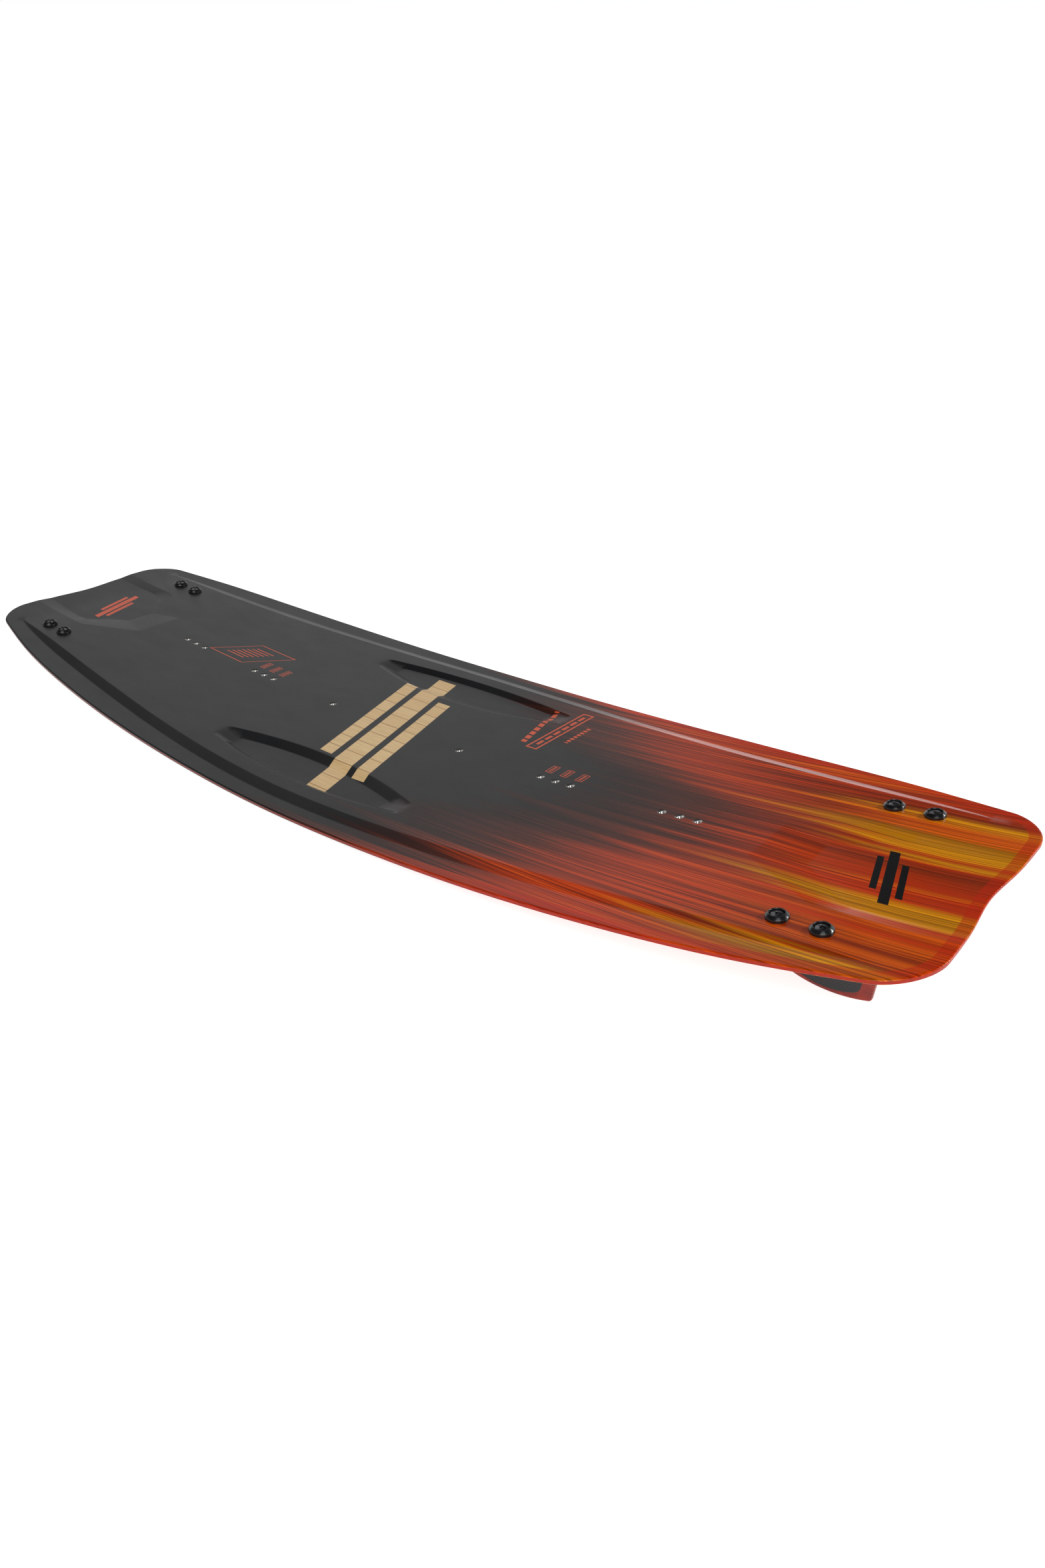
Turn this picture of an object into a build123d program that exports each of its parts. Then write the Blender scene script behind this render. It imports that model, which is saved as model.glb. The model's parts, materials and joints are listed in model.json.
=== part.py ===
from build123d import *
import math
import os

# A twin-tip kiteboard lying on its four fins.  Millimetres, +X towards the right tip,
# +Y towards the back rail, +Z up.  The origin is on the ground, under the board's middle.

# Outline and rocker
LENGTH = 1380.0
WIDTH = 415.0
BASE_CLEARANCE = 4.5  # the base's lowest line stands this far above the fins' lowest points
ROCKER = 54.06  # square-law rise of the base from middle to tip
ROCKER_EASING = 2.53  # fourth-power part, taken off the square-law rise
RIM_THICKNESS = 5.0
SHEET_INSET = 1.3  # the sheets end this far inside the sidewalls, where the edge is rounded
LAMINATE_INSET = 0.5
TIP_NOTCH = 5.4  # how far the tip's middle sits inside its shoulders
SHOULDER_Y = 96.0
RAIL_END = (652.0, 146.0)  # where the rail's long curve turns into the corner
RAIL_END_SLOPE = 0.24

# Layers, from the deck down and from the base up
SHEET = 0.5
LAMINATE = 0.7
SIDEWALL_WIDTH = 11.0
SIDEWALL_JOINT_X = 640.0  # the rail pieces end and the tip pieces begin here

# Deck: (distance from the middle, rise over the rim, foot of the bevel, top of the bevel)
DECK_STATIONS = [
    (0, 3.8, 188.0, 174.5),
    (120, 3.8, 184.0, 170.5),
    (240, 3.8, 175.0, 161.5),
    (360, 3.8, 163.5, 150.0),
    (460, 3.7, 153.5, 140.5),
    (540, 3.2, 144.5, 133.0),
    (600, 2.0, 135.5, 128.5),
    (640, 0.5, 128.0, 125.5),
    (670, 0.12, 123.0, 120.5),
    (705, 0.1, 118.0, 115.5),
]

# Lens-shaped reliefs in the deck, one beside each rail
RELIEF_DEPTH = 4.9
RELIEF_HALF_LENGTH = 158.0
RELIEF_FLOOR_HALF_LENGTH = 126.0
RELIEF_INNER_Y = 94.5
RELIEF_INNER_RADIUS = 523.0
RELIEF_INNER_RUN = 13.2
RELIEF_OUTER_Y = 157.0
RELIEF_OUTER_RADIUS = 810.0
RELIEF_OUTER_RUN = 8.0

# Scoops open to the tips: (x, depth, half width of the floor, half width at the deck)
SCOOP_STATIONS = [
    (480, -0.8, 33.0, 33.0),
    (492, 0.0, 33.0, 33.0),
    (540, 3.3, 18.7, 59.7),
    (572, 3.3, 42.1, 77.5),
    (600, 3.1, 62.0, 77.3),
    (650, 2.2, 59.5, 77.0),
    (705, 1.2, 57.0, 76.5),
]

# Threaded inserts for the foot pads and the grab handle, M6
THREAD_MINOR_RADIUS = 2.5
INSERT_RADIUS = 4.5
INSERT_FLANGE_RADIUS = 9.0
INSERT_FLANGE_THICKNESS = 1.2
INSERT_SINK = 0.1
INSERT_PITCH = 20.0
HANDLE_INSERT_X = 109.0
INNER_STANCE_X = 248.2
STANCE_STEP = 152.4
OUTER_STANCE_X = INNER_STANCE_X + STANCE_STEP
INSERT_BEDDING = 0.1  # resin under the flange
THREAD_DEPTH = 5.6

# Fins and their fastenings, M6
FIN_X = 580.5
FIN_Y = 108.0
FIN_SCREW_PITCH = 37.4
FIN_GAP = 0.3
FIN_FOOT_DEPTH = 15.0
FIN_FOOT_LENGTH = 88.0
FIN_FOOT_WIDTH = 14.0
FIN_FOOT_TAPER = 8.0
FIN_BLADE_THICKNESS = 6.4
BLADE_CORNER = 3.0
BLADE_ROUNDING = 2.2
BLADE_LEADING_EDGE = [(527, 43), (548, 20.5), (575, 4.9), (604, 0), (643.5, 7)]
BLADE_TRAILING_EDGE = [(643.5, 7), (649, 56), (527, 43)]
PANEL_THICKNESS = 0.7
PANEL_FRONT = [(560, 24), (572, 13.2), (587, 6.2), (604, 3.7), (627, 8.4)]
PANEL_CORNER = [(627, 8.4), (633.5, 12.8), (635, 18)]
PANEL_REAR = [(635, 18), (637, 32), (560, 24)]
FIN_INSERT_RADIUS = 4.2
FIN_INSERT_LENGTH = 12.0
GROOVE_WIDTH = 2.0
GROOVE_DEPTH = 0.5
SCREW_RADIUS = 3.0
SCREW_LENGTH = 20.0
THREAD_CLEARANCE = 0.05
HOLE_RADIUS = 3.3
PLUG_RADIUS = 8.0
HEAD_RADIUS = 5.4
HEAD_HEIGHT = 2.2
HEAD_SIDE = 1.1  # height of the head's straight side, under its dome
HEAD_GAP = 0.1
TIP_CHAMFER = 0.8
CROSS_SPAN = 5.4
CROSS_WIDTH = 1.3
CROSS_DEPTH = 1.7
CUP_RADIUS = 6.2
CUP_FLOOR = 2.2
WASHER_RADIUS = 9.7
WASHER_WALL = 2.6
WASHER_HEIGHT = 4.9
LIP_RADIUS = 7.2
WASHER_TRIM = 2.0  # the washer's blank starts this far under the deck, and is cut to the deck

REACH = 240.0  # wider than the board, for solids that are cut to it
REACH_X = 705.0
HOLE_REACH = 15.0  # more than the board's thickness, for what is cut through it
CUT_OVER = 3.0  # how far cutting solids stand over the deck
RAMP_OVER = 1.0
INSET_STEPS = 16
JOINT_KINK = 0.008  # slope between two outline curves at their joint
JOINT_SEARCH = 0.001


def base_height(x):
    """Height of the base over the ground, at a distance x from the middle."""
    share = x / (LENGTH / 2)
    return BASE_CLEARANCE + ROCKER * share**2 - ROCKER_EASING * share**4


def base_slope(x):
    """Angle of the base to the ground, in degrees."""
    half = LENGTH / 2
    rise = 2 * ROCKER * x / half**2 - 4 * ROCKER_EASING * x**3 / half**4
    return math.degrees(math.atan(rise))


def deck_height(x):
    """Height of the raised deck over the ground, by straight lines between the stations."""
    x = abs(x)
    rise = 0.0
    for near, far in zip(DECK_STATIONS, DECK_STATIONS[1:]):
        if near[0] <= x <= far[0]:
            share = (x - near[0]) / (far[0] - near[0])
            rise = near[1] + share * (far[1] - near[1])
    return base_height(x) + RIM_THICKNESS + rise


def base_plane(x, y):
    """A plane on the base, its normal square to the base and pointing up through the deck."""
    tilt = math.radians(base_slope(x))
    normal = (-math.sin(tilt), 0, math.cos(tilt))
    along = (math.cos(tilt), 0, math.sin(tilt))
    return Plane(origin=(x, y, base_height(x)), x_dir=along, z_dir=normal)


def save(part, name):
    """Writes one sub-part."""
    part.label = name
    export_step(part, f"parts/{name}.step")


os.makedirs("parts", exist_ok=True)


# ---------------------------------------------------------------- the board's envelope

# The curves meet at a trace of an angle, so that each stays an edge and a side face of its own.
half = LENGTH / 2
rail_points = [(0, WIDTH / 2), (150, 204.2), (300, 196.4), (450, 182.5), (560, 166.5), RAIL_END]
corner_points = [RAIL_END, (665.5, 139.5), (684.5, 117.5), (half, SHOULDER_Y)]
tip_half = [(half, SHOULDER_Y), (half - 1.5, 45)]
tip_points = tip_half + [(half - TIP_NOTCH, 0)] + [(x, -y) for x, y in reversed(tip_half)]
with BuildSketch(Plane.XY.offset(-REACH)) as outline:
    with BuildLine():
        Spline(*rail_points, tangents=[(1, -JOINT_KINK), (1, -RAIL_END_SLOPE)])
        Spline(*corner_points, tangents=[(1, -RAIL_END_SLOPE - JOINT_KINK), (0, -1)])
        mirror(about=Plane.XZ)
        Spline(*tip_points, tangents=[(-JOINT_KINK, -1), (JOINT_KINK, -1)])
        mirror(about=Plane.YZ)
    make_face()


def inward(edge, share):
    """Direction from the outline's edge to the inside, square to the edge."""
    across = edge.tangent_at(share).cross(Vector(0, 0, 1))
    centre = Vector(0, 0, -REACH)
    return across if across.dot(centre - edge.position_at(share)) > 0 else -across


def inset_end(point, inset):
    """The inset point at a joint of the outline, halfway between its two edges' directions."""
    total = Vector(0, 0, 0)
    for edge in outline.edges():
        for share in (0, 1):
            if (edge.position_at(share) - point).length < JOINT_SEARCH:
                total += inward(edge, share)
    return point + total.normalized() * inset


def inset_curve(edge, inset):
    """A curve parallel to an edge of the outline, on its inner side."""
    points = [inset_end(edge.position_at(0), inset)]
    for step in range(1, INSET_STEPS):
        share = step / INSET_STEPS
        points.append(edge.position_at(share) + inward(edge, share) * inset)
    points.append(inset_end(edge.position_at(1), inset))
    return Spline(*points, tangents=[edge.tangent_at(0), edge.tangent_at(1)])


def block(inset):
    """A tall block of the board's outline, pulled in by inset."""
    with BuildSketch() as pulled_in:
        with BuildLine():
            add([inset_curve(edge, inset) for edge in outline.edges()])
        make_face()
    return extrude(pulled_in.sketch.moved(Location((0, 0, -REACH))), amount=2 * REACH)


with BuildPart() as outline_block:
    add(outline.sketch)
    extrude(amount=2 * REACH)

core_block = block(SIDEWALL_WIDTH)


def profile_line(height, count=13):
    """Points of a lengthwise curve over the whole board, from left to right."""
    step = 2 * REACH_X / (count - 1)
    return [(-REACH_X + i * step, height(-REACH_X + i * step)) for i in range(count)]


# Everything over the base.
with BuildPart() as over_base:
    with BuildSketch(Plane.XZ.offset(-REACH)):
        with BuildLine():
            base_curve = Spline(*profile_line(base_height))
            Polyline(base_curve @ 1, (REACH_X, REACH), (-REACH_X, REACH), base_curve @ 0)
        make_face()
    extrude(amount=2 * REACH)

# Everything under the deck, from cross-sections along the board.
stations = [(-x, rise, foot, top) for x, rise, foot, top in reversed(DECK_STATIONS[1:])] + DECK_STATIONS
with BuildPart() as under_deck:
    for x, rise, foot, top in stations:
        rim = base_height(x) + RIM_THICKNESS
        with BuildSketch(Plane.YZ.offset(x)):
            with BuildLine():
                Polyline(
                    (-REACH, -REACH),
                    (REACH, -REACH),
                    (REACH, rim),
                    (foot, rim),
                    (top, rim + rise),
                    (-top, rim + rise),
                    (-foot, rim),
                    (-REACH, rim),
                    close=True,
                )
            make_face()
    loft()


# ---------------------------------------------------------------- hollows of the deck


def arc_drop(x, radius):
    """How far an arc of this radius has turned away from its middle tangent at x."""
    return radius - math.sqrt(radius**2 - x**2)


def relief_section(x, floor_rise):
    """Cross-section of the back relief at x, its floor floor_rise over the deck."""
    deck = deck_height(x)
    inner = RELIEF_INNER_Y + arc_drop(x, RELIEF_INNER_RADIUS)
    outer = RELIEF_OUTER_Y - arc_drop(x, RELIEF_OUTER_RADIUS)
    inner_lean = RELIEF_INNER_RUN / RELIEF_DEPTH
    outer_lean = RELIEF_OUTER_RUN / RELIEF_DEPTH
    return [
        (inner - CUT_OVER * inner_lean, deck + CUT_OVER),
        (outer + CUT_OVER * outer_lean, deck + CUT_OVER),
        (outer + floor_rise * outer_lean, deck + floor_rise),
        (inner - floor_rise * inner_lean, deck + floor_rise),
    ]


def scoop_section(x, depth, floor, top):
    """Cross-section of the right tip's scoop at x."""
    deck = deck_height(x)
    lean = (top - floor) / depth if depth > 0 else 1.0
    brim = top + lean * CUT_OVER
    return [
        (-floor, deck - depth),
        (floor, deck - depth),
        (brim, deck + CUT_OVER),
        (-brim, deck + CUT_OVER),
    ]


floor_steps = [RELIEF_FLOOR_HALF_LENGTH * step / 3 for step in range(-3, 4)]
floor_sections = [(x, relief_section(x, -RELIEF_DEPTH)) for x in floor_steps]
ramp = RELIEF_HALF_LENGTH - RELIEF_FLOOR_HALF_LENGTH
ramp_end = RELIEF_HALF_LENGTH + ramp * RAMP_OVER / RELIEF_DEPTH
relief_runs = [(floor_sections, False)]
for floor_end in (floor_sections[0], floor_sections[-1]):
    x = math.copysign(ramp_end, floor_end[0])
    relief_runs.append(([floor_end, (x, relief_section(x, RAMP_OVER))], True))

with BuildPart() as back_relief:
    for run, is_ruled in relief_runs:
        for x, points in run:
            with BuildSketch(Plane.YZ.offset(x)):
                with BuildLine():
                    Polyline(*points, close=True)
                make_face()
        loft(ruled=is_ruled)

with BuildPart() as right_scoop:
    for station in SCOOP_STATIONS:
        with BuildSketch(Plane.YZ.offset(station[0])):
            with BuildLine():
                Polyline(*scoop_section(*station), close=True)
            make_face()
    loft(ruled=True)

# The solid under the finished deck surface, wider than the board.
with BuildPart() as deck_form:
    add(under_deck.part)
    add(back_relief.part, mode=Mode.SUBTRACT)
    add(mirror(back_relief.part, about=Plane.XZ), mode=Mode.SUBTRACT)
    add(right_scoop.part, mode=Mode.SUBTRACT)
    add(mirror(right_scoop.part, about=Plane.YZ), mode=Mode.SUBTRACT)

# ---------------------------------------------------------------- inserts, plugs and screw axes

pad_offsets = [-INSERT_PITCH, 0, INSERT_PITCH]
insert_groups = {
    "left_outer_inserts": [(-OUTER_STANCE_X, pad_offsets)],
    "left_inner_inserts": [(-INNER_STANCE_X, pad_offsets)],
    "handle_inserts": [(-HANDLE_INSERT_X, [0]), (HANDLE_INSERT_X, [0])],
    "right_inner_inserts": [(INNER_STANCE_X, pad_offsets)],
    "right_outer_inserts": [(OUTER_STANCE_X, pad_offsets)],
}
skin = SHEET + LAMINATE


def insert_planes(middle, offsets):
    """Planes on the base under each insert of a group, tilted alike."""
    group = base_plane(middle, 0)
    planes = []
    for offset_x in offsets:
        x = middle + offset_x * group.x_dir.X
        planes.append(Plane(origin=(x, 0, base_height(x)), x_dir=group.x_dir, z_dir=group.z_dir))
    return planes


all_insert_planes = []
for name, groups in insert_groups.items():
    seats = [seat for middle, offsets in groups for seat in insert_planes(middle, offsets)]
    with BuildPart() as inserts:
        for seat in seats:
            x = seat.origin.X
            mouth = (deck_height(x) - base_height(x)) * seat.z_dir.Z - INSERT_SINK
            bottom = skin + INSERT_BEDDING
            with BuildSketch(seat.offset(bottom)):
                Circle(INSERT_FLANGE_RADIUS)
            extrude(amount=INSERT_FLANGE_THICKNESS)
            with BuildSketch(seat.offset(bottom)):
                Circle(INSERT_RADIUS)
            extrude(amount=mouth - bottom)
            with BuildSketch(seat.offset(mouth)):
                Circle(THREAD_MINOR_RADIUS)
            extrude(amount=-THREAD_DEPTH, mode=Mode.SUBTRACT)
    all_insert_planes += seats
    save(inserts.part, name)

with BuildPart() as insert_holes:
    for seat in all_insert_planes:
        with BuildSketch(seat):
            Circle(INSERT_FLANGE_RADIUS)
        extrude(amount=skin + INSERT_BEDDING + INSERT_FLANGE_THICKNESS)
        with BuildSketch(seat):
            Circle(INSERT_RADIUS)
        extrude(amount=HOLE_REACH)

ends = {"left": -1, "right": 1}
rails = {"front": -1, "back": 1}
screw_seats = {}
for rail, side in rails.items():
    for end, direction in ends.items():
        middle = base_plane(direction * FIN_X, side * FIN_Y)
        for place, offset_x in (("inner", -direction), ("outer", direction)):
            origin = middle.origin + middle.x_dir * (offset_x * FIN_SCREW_PITCH / 2)
            seat = Plane(origin=origin, x_dir=middle.x_dir, z_dir=middle.z_dir)
            screw_seats[f"{rail}_{end}_{place}"] = seat

with BuildPart() as screw_holes:
    for seat in screw_seats.values():
        with BuildSketch(seat):
            Circle(HOLE_RADIUS)
        extrude(amount=HOLE_REACH, both=True)

# ---------------------------------------------------------------- layers of the board


def lowered(depth):
    """The solid under a surface this deep under the deck."""
    return deck_form.part.moved(Location((0, 0, -depth)))


def raised(height):
    """The solid over a surface this high over the base."""
    return over_base.part.moved(Location((0, 0, height)))


sheet_block = block(SHEET_INSET)
laminate_block = block(LAMINATE_INSET)

with BuildPart() as top_sheet:
    add(sheet_block)
    add(deck_form.part, mode=Mode.INTERSECT)
    add(lowered(SHEET), mode=Mode.SUBTRACT)
    add(insert_holes.part, mode=Mode.SUBTRACT)
    add(screw_holes.part, mode=Mode.SUBTRACT)
save(top_sheet.part, "top_sheet")

with BuildPart() as top_laminate:
    add(laminate_block)
    add(lowered(SHEET), mode=Mode.INTERSECT)
    add(lowered(skin), mode=Mode.SUBTRACT)
    add(insert_holes.part, mode=Mode.SUBTRACT)
    add(screw_holes.part, mode=Mode.SUBTRACT)
save(top_laminate.part, "top_laminate")

with BuildPart() as bottom_laminate:
    add(laminate_block)
    add(raised(SHEET), mode=Mode.INTERSECT)
    add(raised(skin), mode=Mode.SUBTRACT)
    add(screw_holes.part, mode=Mode.SUBTRACT)
save(bottom_laminate.part, "bottom_laminate")

with BuildPart() as base_sheet:
    add(sheet_block)
    add(over_base.part, mode=Mode.INTERSECT)
    add(raised(SHEET), mode=Mode.SUBTRACT)
    add(screw_holes.part, mode=Mode.SUBTRACT)
save(base_sheet.part, "base_sheet")

with BuildPart() as middle_layer:
    add(outline_block.part)
    add(lowered(skin), mode=Mode.INTERSECT)
    add(raised(skin), mode=Mode.INTERSECT)

with BuildPart() as plug_posts:
    for seat in screw_seats.values():
        with BuildSketch(seat):
            Circle(PLUG_RADIUS)
        extrude(amount=HOLE_REACH, both=True)

with BuildPart() as wood_core:
    add(middle_layer.part)
    add(core_block, mode=Mode.INTERSECT)
    add(insert_holes.part, mode=Mode.SUBTRACT)
    add(plug_posts.part, mode=Mode.SUBTRACT)
save(wood_core.part, "wood_core")

for rail, side in rails.items():
    for end, direction in ends.items():
        with BuildPart() as plugs:
            add(plug_posts.part)
            add(middle_layer.part, mode=Mode.INTERSECT)
            add(screw_holes.part, mode=Mode.SUBTRACT)
            split(bisect_by=Plane.XZ, keep=Keep.BOTTOM if side > 0 else Keep.TOP)
            split(bisect_by=Plane.YZ, keep=Keep.TOP if direction > 0 else Keep.BOTTOM)
        save(plugs.part, f"{rail}_{end}_fin_plugs")

with BuildPart() as sidewall_ring:
    add(middle_layer.part)
    add(core_block, mode=Mode.SUBTRACT)

for end, direction in ends.items():
    with BuildPart() as tip_sidewall:
        add(sidewall_ring.part)
        joint = Plane.YZ.offset(direction * SIDEWALL_JOINT_X)
        split(bisect_by=joint, keep=Keep.TOP if direction > 0 else Keep.BOTTOM)
    save(tip_sidewall.part, f"{end}_tip_sidewall")

for rail, side in rails.items():
    with BuildPart() as rail_sidewall:
        add(sidewall_ring.part)
        split(bisect_by=Plane.YZ.offset(SIDEWALL_JOINT_X), keep=Keep.BOTTOM)
        split(bisect_by=Plane.YZ.offset(-SIDEWALL_JOINT_X), keep=Keep.TOP)
        split(bisect_by=Plane.XZ, keep=Keep.BOTTOM if side > 0 else Keep.TOP)
    save(rail_sidewall.part, f"{rail}_rail_sidewall")

# ---------------------------------------------------------------- fins, washers and screws


def placed(part, end, rail):
    """A piece made at the right end of the back rail, mirrored to another corner."""
    if end == "left":
        part = mirror(part, about=Plane.YZ)
    if rail == "front":
        part = mirror(part, about=Plane.XZ)
    return part


fin_seat = base_plane(FIN_X, FIN_Y).offset(-FIN_GAP)
blade_side = Plane.XZ.offset(-FIN_Y)
half_blade = FIN_BLADE_THICKNESS / 2
screw_spots = [(-FIN_SCREW_PITCH / 2, 0), (FIN_SCREW_PITCH / 2, 0)]

with BuildPart() as fin_panels:
    for y in (FIN_Y - half_blade, FIN_Y + half_blade - PANEL_THICKNESS):
        with BuildSketch(Plane.XZ.offset(-y)):
            with BuildLine():
                Spline(*PANEL_FRONT)
                Spline(*PANEL_CORNER, tangents=[(1, 0.35), (0, 1)])
                Polyline(*PANEL_REAR)
            make_face()
        extrude(amount=-PANEL_THICKNESS)

with BuildPart() as fin_inserts:
    with BuildSketch(fin_seat):
        with Locations(*screw_spots):
            Circle(FIN_INSERT_RADIUS)
    extrude(amount=-FIN_INSERT_LENGTH)
    with BuildSketch(fin_seat.offset(-FIN_INSERT_LENGTH / 2 - GROOVE_WIDTH / 2)):
        with Locations(*screw_spots):
            Circle(FIN_INSERT_RADIUS)
            Circle(FIN_INSERT_RADIUS - GROOVE_DEPTH, mode=Mode.SUBTRACT)
    extrude(amount=GROOVE_WIDTH, mode=Mode.SUBTRACT)
    with BuildSketch(fin_seat):
        with Locations(*screw_spots):
            Circle(SCREW_RADIUS + THREAD_CLEARANCE)
    extrude(amount=-FIN_INSERT_LENGTH, mode=Mode.SUBTRACT)

with BuildPart() as fin:
    with BuildSketch(blade_side) as blade_outline:
        with BuildLine():
            Spline(*BLADE_LEADING_EDGE)
            Polyline(*BLADE_TRAILING_EDGE)
        make_face()
        fillet(blade_outline.vertices().sort_by(Axis.Y)[0], radius=BLADE_CORNER)
    extrude(amount=half_blade, both=True)
    rim_edges = [edge for edge in fin.edges() if abs(edge.center().Y - FIN_Y) > half_blade / 2]
    fillet(rim_edges, radius=BLADE_ROUNDING)
    split(bisect_by=fin_seat, keep=Keep.BOTTOM)
    with BuildSketch(fin_seat):
        SlotOverall(FIN_FOOT_LENGTH, FIN_FOOT_WIDTH)
    extrude(amount=-FIN_FOOT_DEPTH, taper=FIN_FOOT_TAPER)
    with BuildSketch(fin_seat):
        with Locations(*screw_spots):
            Circle(FIN_INSERT_RADIUS)
    extrude(amount=-FIN_INSERT_LENGTH, mode=Mode.SUBTRACT)
    add(fin_panels.part, mode=Mode.SUBTRACT)

for rail in rails:
    for end in ends:
        save(placed(fin.part, end, rail), f"{rail}_{end}_fin")
        save(placed(fin_panels.part, end, rail), f"{rail}_{end}_fin_panels")
        save(placed(fin_inserts.part, end, rail), f"{rail}_{end}_fin_inserts")

for name, seat in screw_seats.items():
    x = seat.origin.X
    deck = (deck_height(x) - base_height(x)) * seat.z_dir.Z
    across = Plane(origin=seat.origin + seat.z_dir * deck, x_dir=seat.x_dir, z_dir=(0, -1, 0))
    axis = Axis(across.origin, seat.z_dir)

    with BuildPart() as washer:
        with BuildSketch(across):
            with BuildLine():
                Polyline(
                    (SCREW_RADIUS + THREAD_CLEARANCE, -WASHER_TRIM),
                    (WASHER_RADIUS, -WASHER_TRIM),
                    (WASHER_RADIUS, WASHER_WALL),
                    (LIP_RADIUS, WASHER_HEIGHT),
                    (CUP_RADIUS, WASHER_HEIGHT),
                    (CUP_RADIUS, CUP_FLOOR),
                    (SCREW_RADIUS + THREAD_CLEARANCE, CUP_FLOOR),
                    close=True,
                )
            make_face()
        revolve(axis=axis)
        add(deck_form.part, mode=Mode.SUBTRACT)
    save(washer.part, f"{name}_washer")

    under_head = CUP_FLOOR + HEAD_GAP
    tip = under_head - SCREW_LENGTH
    head_side = under_head + HEAD_SIDE
    head_top = under_head + HEAD_HEIGHT
    dome = HEAD_HEIGHT - HEAD_SIDE
    dome_radius = (HEAD_RADIUS**2 + dome**2) / (2 * dome)
    with BuildPart() as screw:
        with BuildSketch(across):
            with BuildLine():
                Polyline(
                    (0, head_top),
                    (0, tip),
                    (SCREW_RADIUS - TIP_CHAMFER, tip),
                    (SCREW_RADIUS, tip + TIP_CHAMFER),
                    (SCREW_RADIUS, under_head),
                    (HEAD_RADIUS, under_head),
                    (HEAD_RADIUS, head_side),
                )
                RadiusArc((HEAD_RADIUS, head_side), (0, head_top), radius=-dome_radius)
            make_face()
        revolve(axis=axis)
        with BuildSketch(seat.offset(deck + head_top)):
            Rectangle(CROSS_SPAN, CROSS_WIDTH)
            Rectangle(CROSS_WIDTH, CROSS_SPAN)
        extrude(amount=-CROSS_DEPTH, mode=Mode.SUBTRACT)
    save(screw.part, f"{name}_screw")
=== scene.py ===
import json
import math

import bmesh
import bpy
import numpy as np
from mathutils import Matrix, Vector
from mathutils.geometry import delaunay_2d_cdt
from mathutils.kdtree import KDTree


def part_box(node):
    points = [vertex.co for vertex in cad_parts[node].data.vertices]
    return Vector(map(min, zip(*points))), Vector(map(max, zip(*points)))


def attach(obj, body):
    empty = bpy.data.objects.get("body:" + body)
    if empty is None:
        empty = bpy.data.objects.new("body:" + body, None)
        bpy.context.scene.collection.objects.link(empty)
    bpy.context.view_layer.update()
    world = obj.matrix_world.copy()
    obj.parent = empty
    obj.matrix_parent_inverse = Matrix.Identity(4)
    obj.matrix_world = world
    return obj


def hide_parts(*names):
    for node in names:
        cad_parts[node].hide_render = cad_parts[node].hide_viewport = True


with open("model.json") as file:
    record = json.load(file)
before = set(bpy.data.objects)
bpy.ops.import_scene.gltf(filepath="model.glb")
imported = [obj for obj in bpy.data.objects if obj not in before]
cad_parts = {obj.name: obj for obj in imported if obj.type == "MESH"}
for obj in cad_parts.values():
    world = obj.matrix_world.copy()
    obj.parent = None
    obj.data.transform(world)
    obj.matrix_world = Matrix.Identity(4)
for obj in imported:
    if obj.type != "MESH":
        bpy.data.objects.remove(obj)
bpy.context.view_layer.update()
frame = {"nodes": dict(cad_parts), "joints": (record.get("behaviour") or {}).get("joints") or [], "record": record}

# The looks of a twin-tip kiteboard.  Shapes are worked out in millimetres and written in metres.
MM = 0.001

# ---------------- sizes of the board, as in the CAD model

HALF_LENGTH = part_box("right_tip_sidewall")[1].x / MM
HALF_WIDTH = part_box("back_rail_sidewall")[1].y / MM
BASE_CLEARANCE = 4.5
ROCKER = 54.06
ROCKER_EASING = 2.53
RIM_THICKNESS = 5.0
SKIN = 1.2
SIDEWALL_WIDTH = 11.0
SIDEWALL_JOINT_X = 640.0
SHOULDER_Y = 96.0
RAIL_END = (652.0, 146.0)
RAIL_END_SLOPE = 0.24

# One quarter of the outline, from the middle of the back rail to the middle of the right tip
RAIL_POINTS = [(0, HALF_WIDTH), (150, 204.2), (300, 196.4), (450, 182.5), (560, 166.5), RAIL_END]
CORNER_POINTS = [RAIL_END, (665.5, 139.5), (684.5, 117.5), (HALF_LENGTH, SHOULDER_Y)]
TIP_POINTS = [(HALF_LENGTH, SHOULDER_Y), (HALF_LENGTH - 1.5, 45), (HALF_LENGTH - 5.4, 0)]

# Deck: distance from the middle, rise over the rim, foot and top of the bevel
DECK_X = [0, 120, 240, 360, 460, 540, 600, 640, 670, 705]
DECK_RISE = [3.8, 3.8, 3.8, 3.8, 3.7, 3.2, 2.0, 0.5, 0.12, 0.1]
BEVEL_FOOT = [188.0, 184.0, 175.0, 163.5, 153.5, 144.5, 135.5, 128.0, 123.0, 118.0]
BEVEL_TOP = [174.5, 170.5, 161.5, 150.0, 140.5, 133.0, 128.5, 125.5, 120.5, 115.5]
BEVEL_LINES_END = 636

RELIEF_DEPTH = 4.9
RELIEF_HALF_LENGTH = 158.0
RELIEF_FLOOR_HALF_LENGTH = 126.0
RELIEF_INNER_Y = 94.5
RELIEF_INNER_RADIUS = 523.0
RELIEF_INNER_RUN = 13.2
RELIEF_OUTER_Y = 157.0
RELIEF_OUTER_RADIUS = 810.0
RELIEF_OUTER_RUN = 8.0

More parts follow.
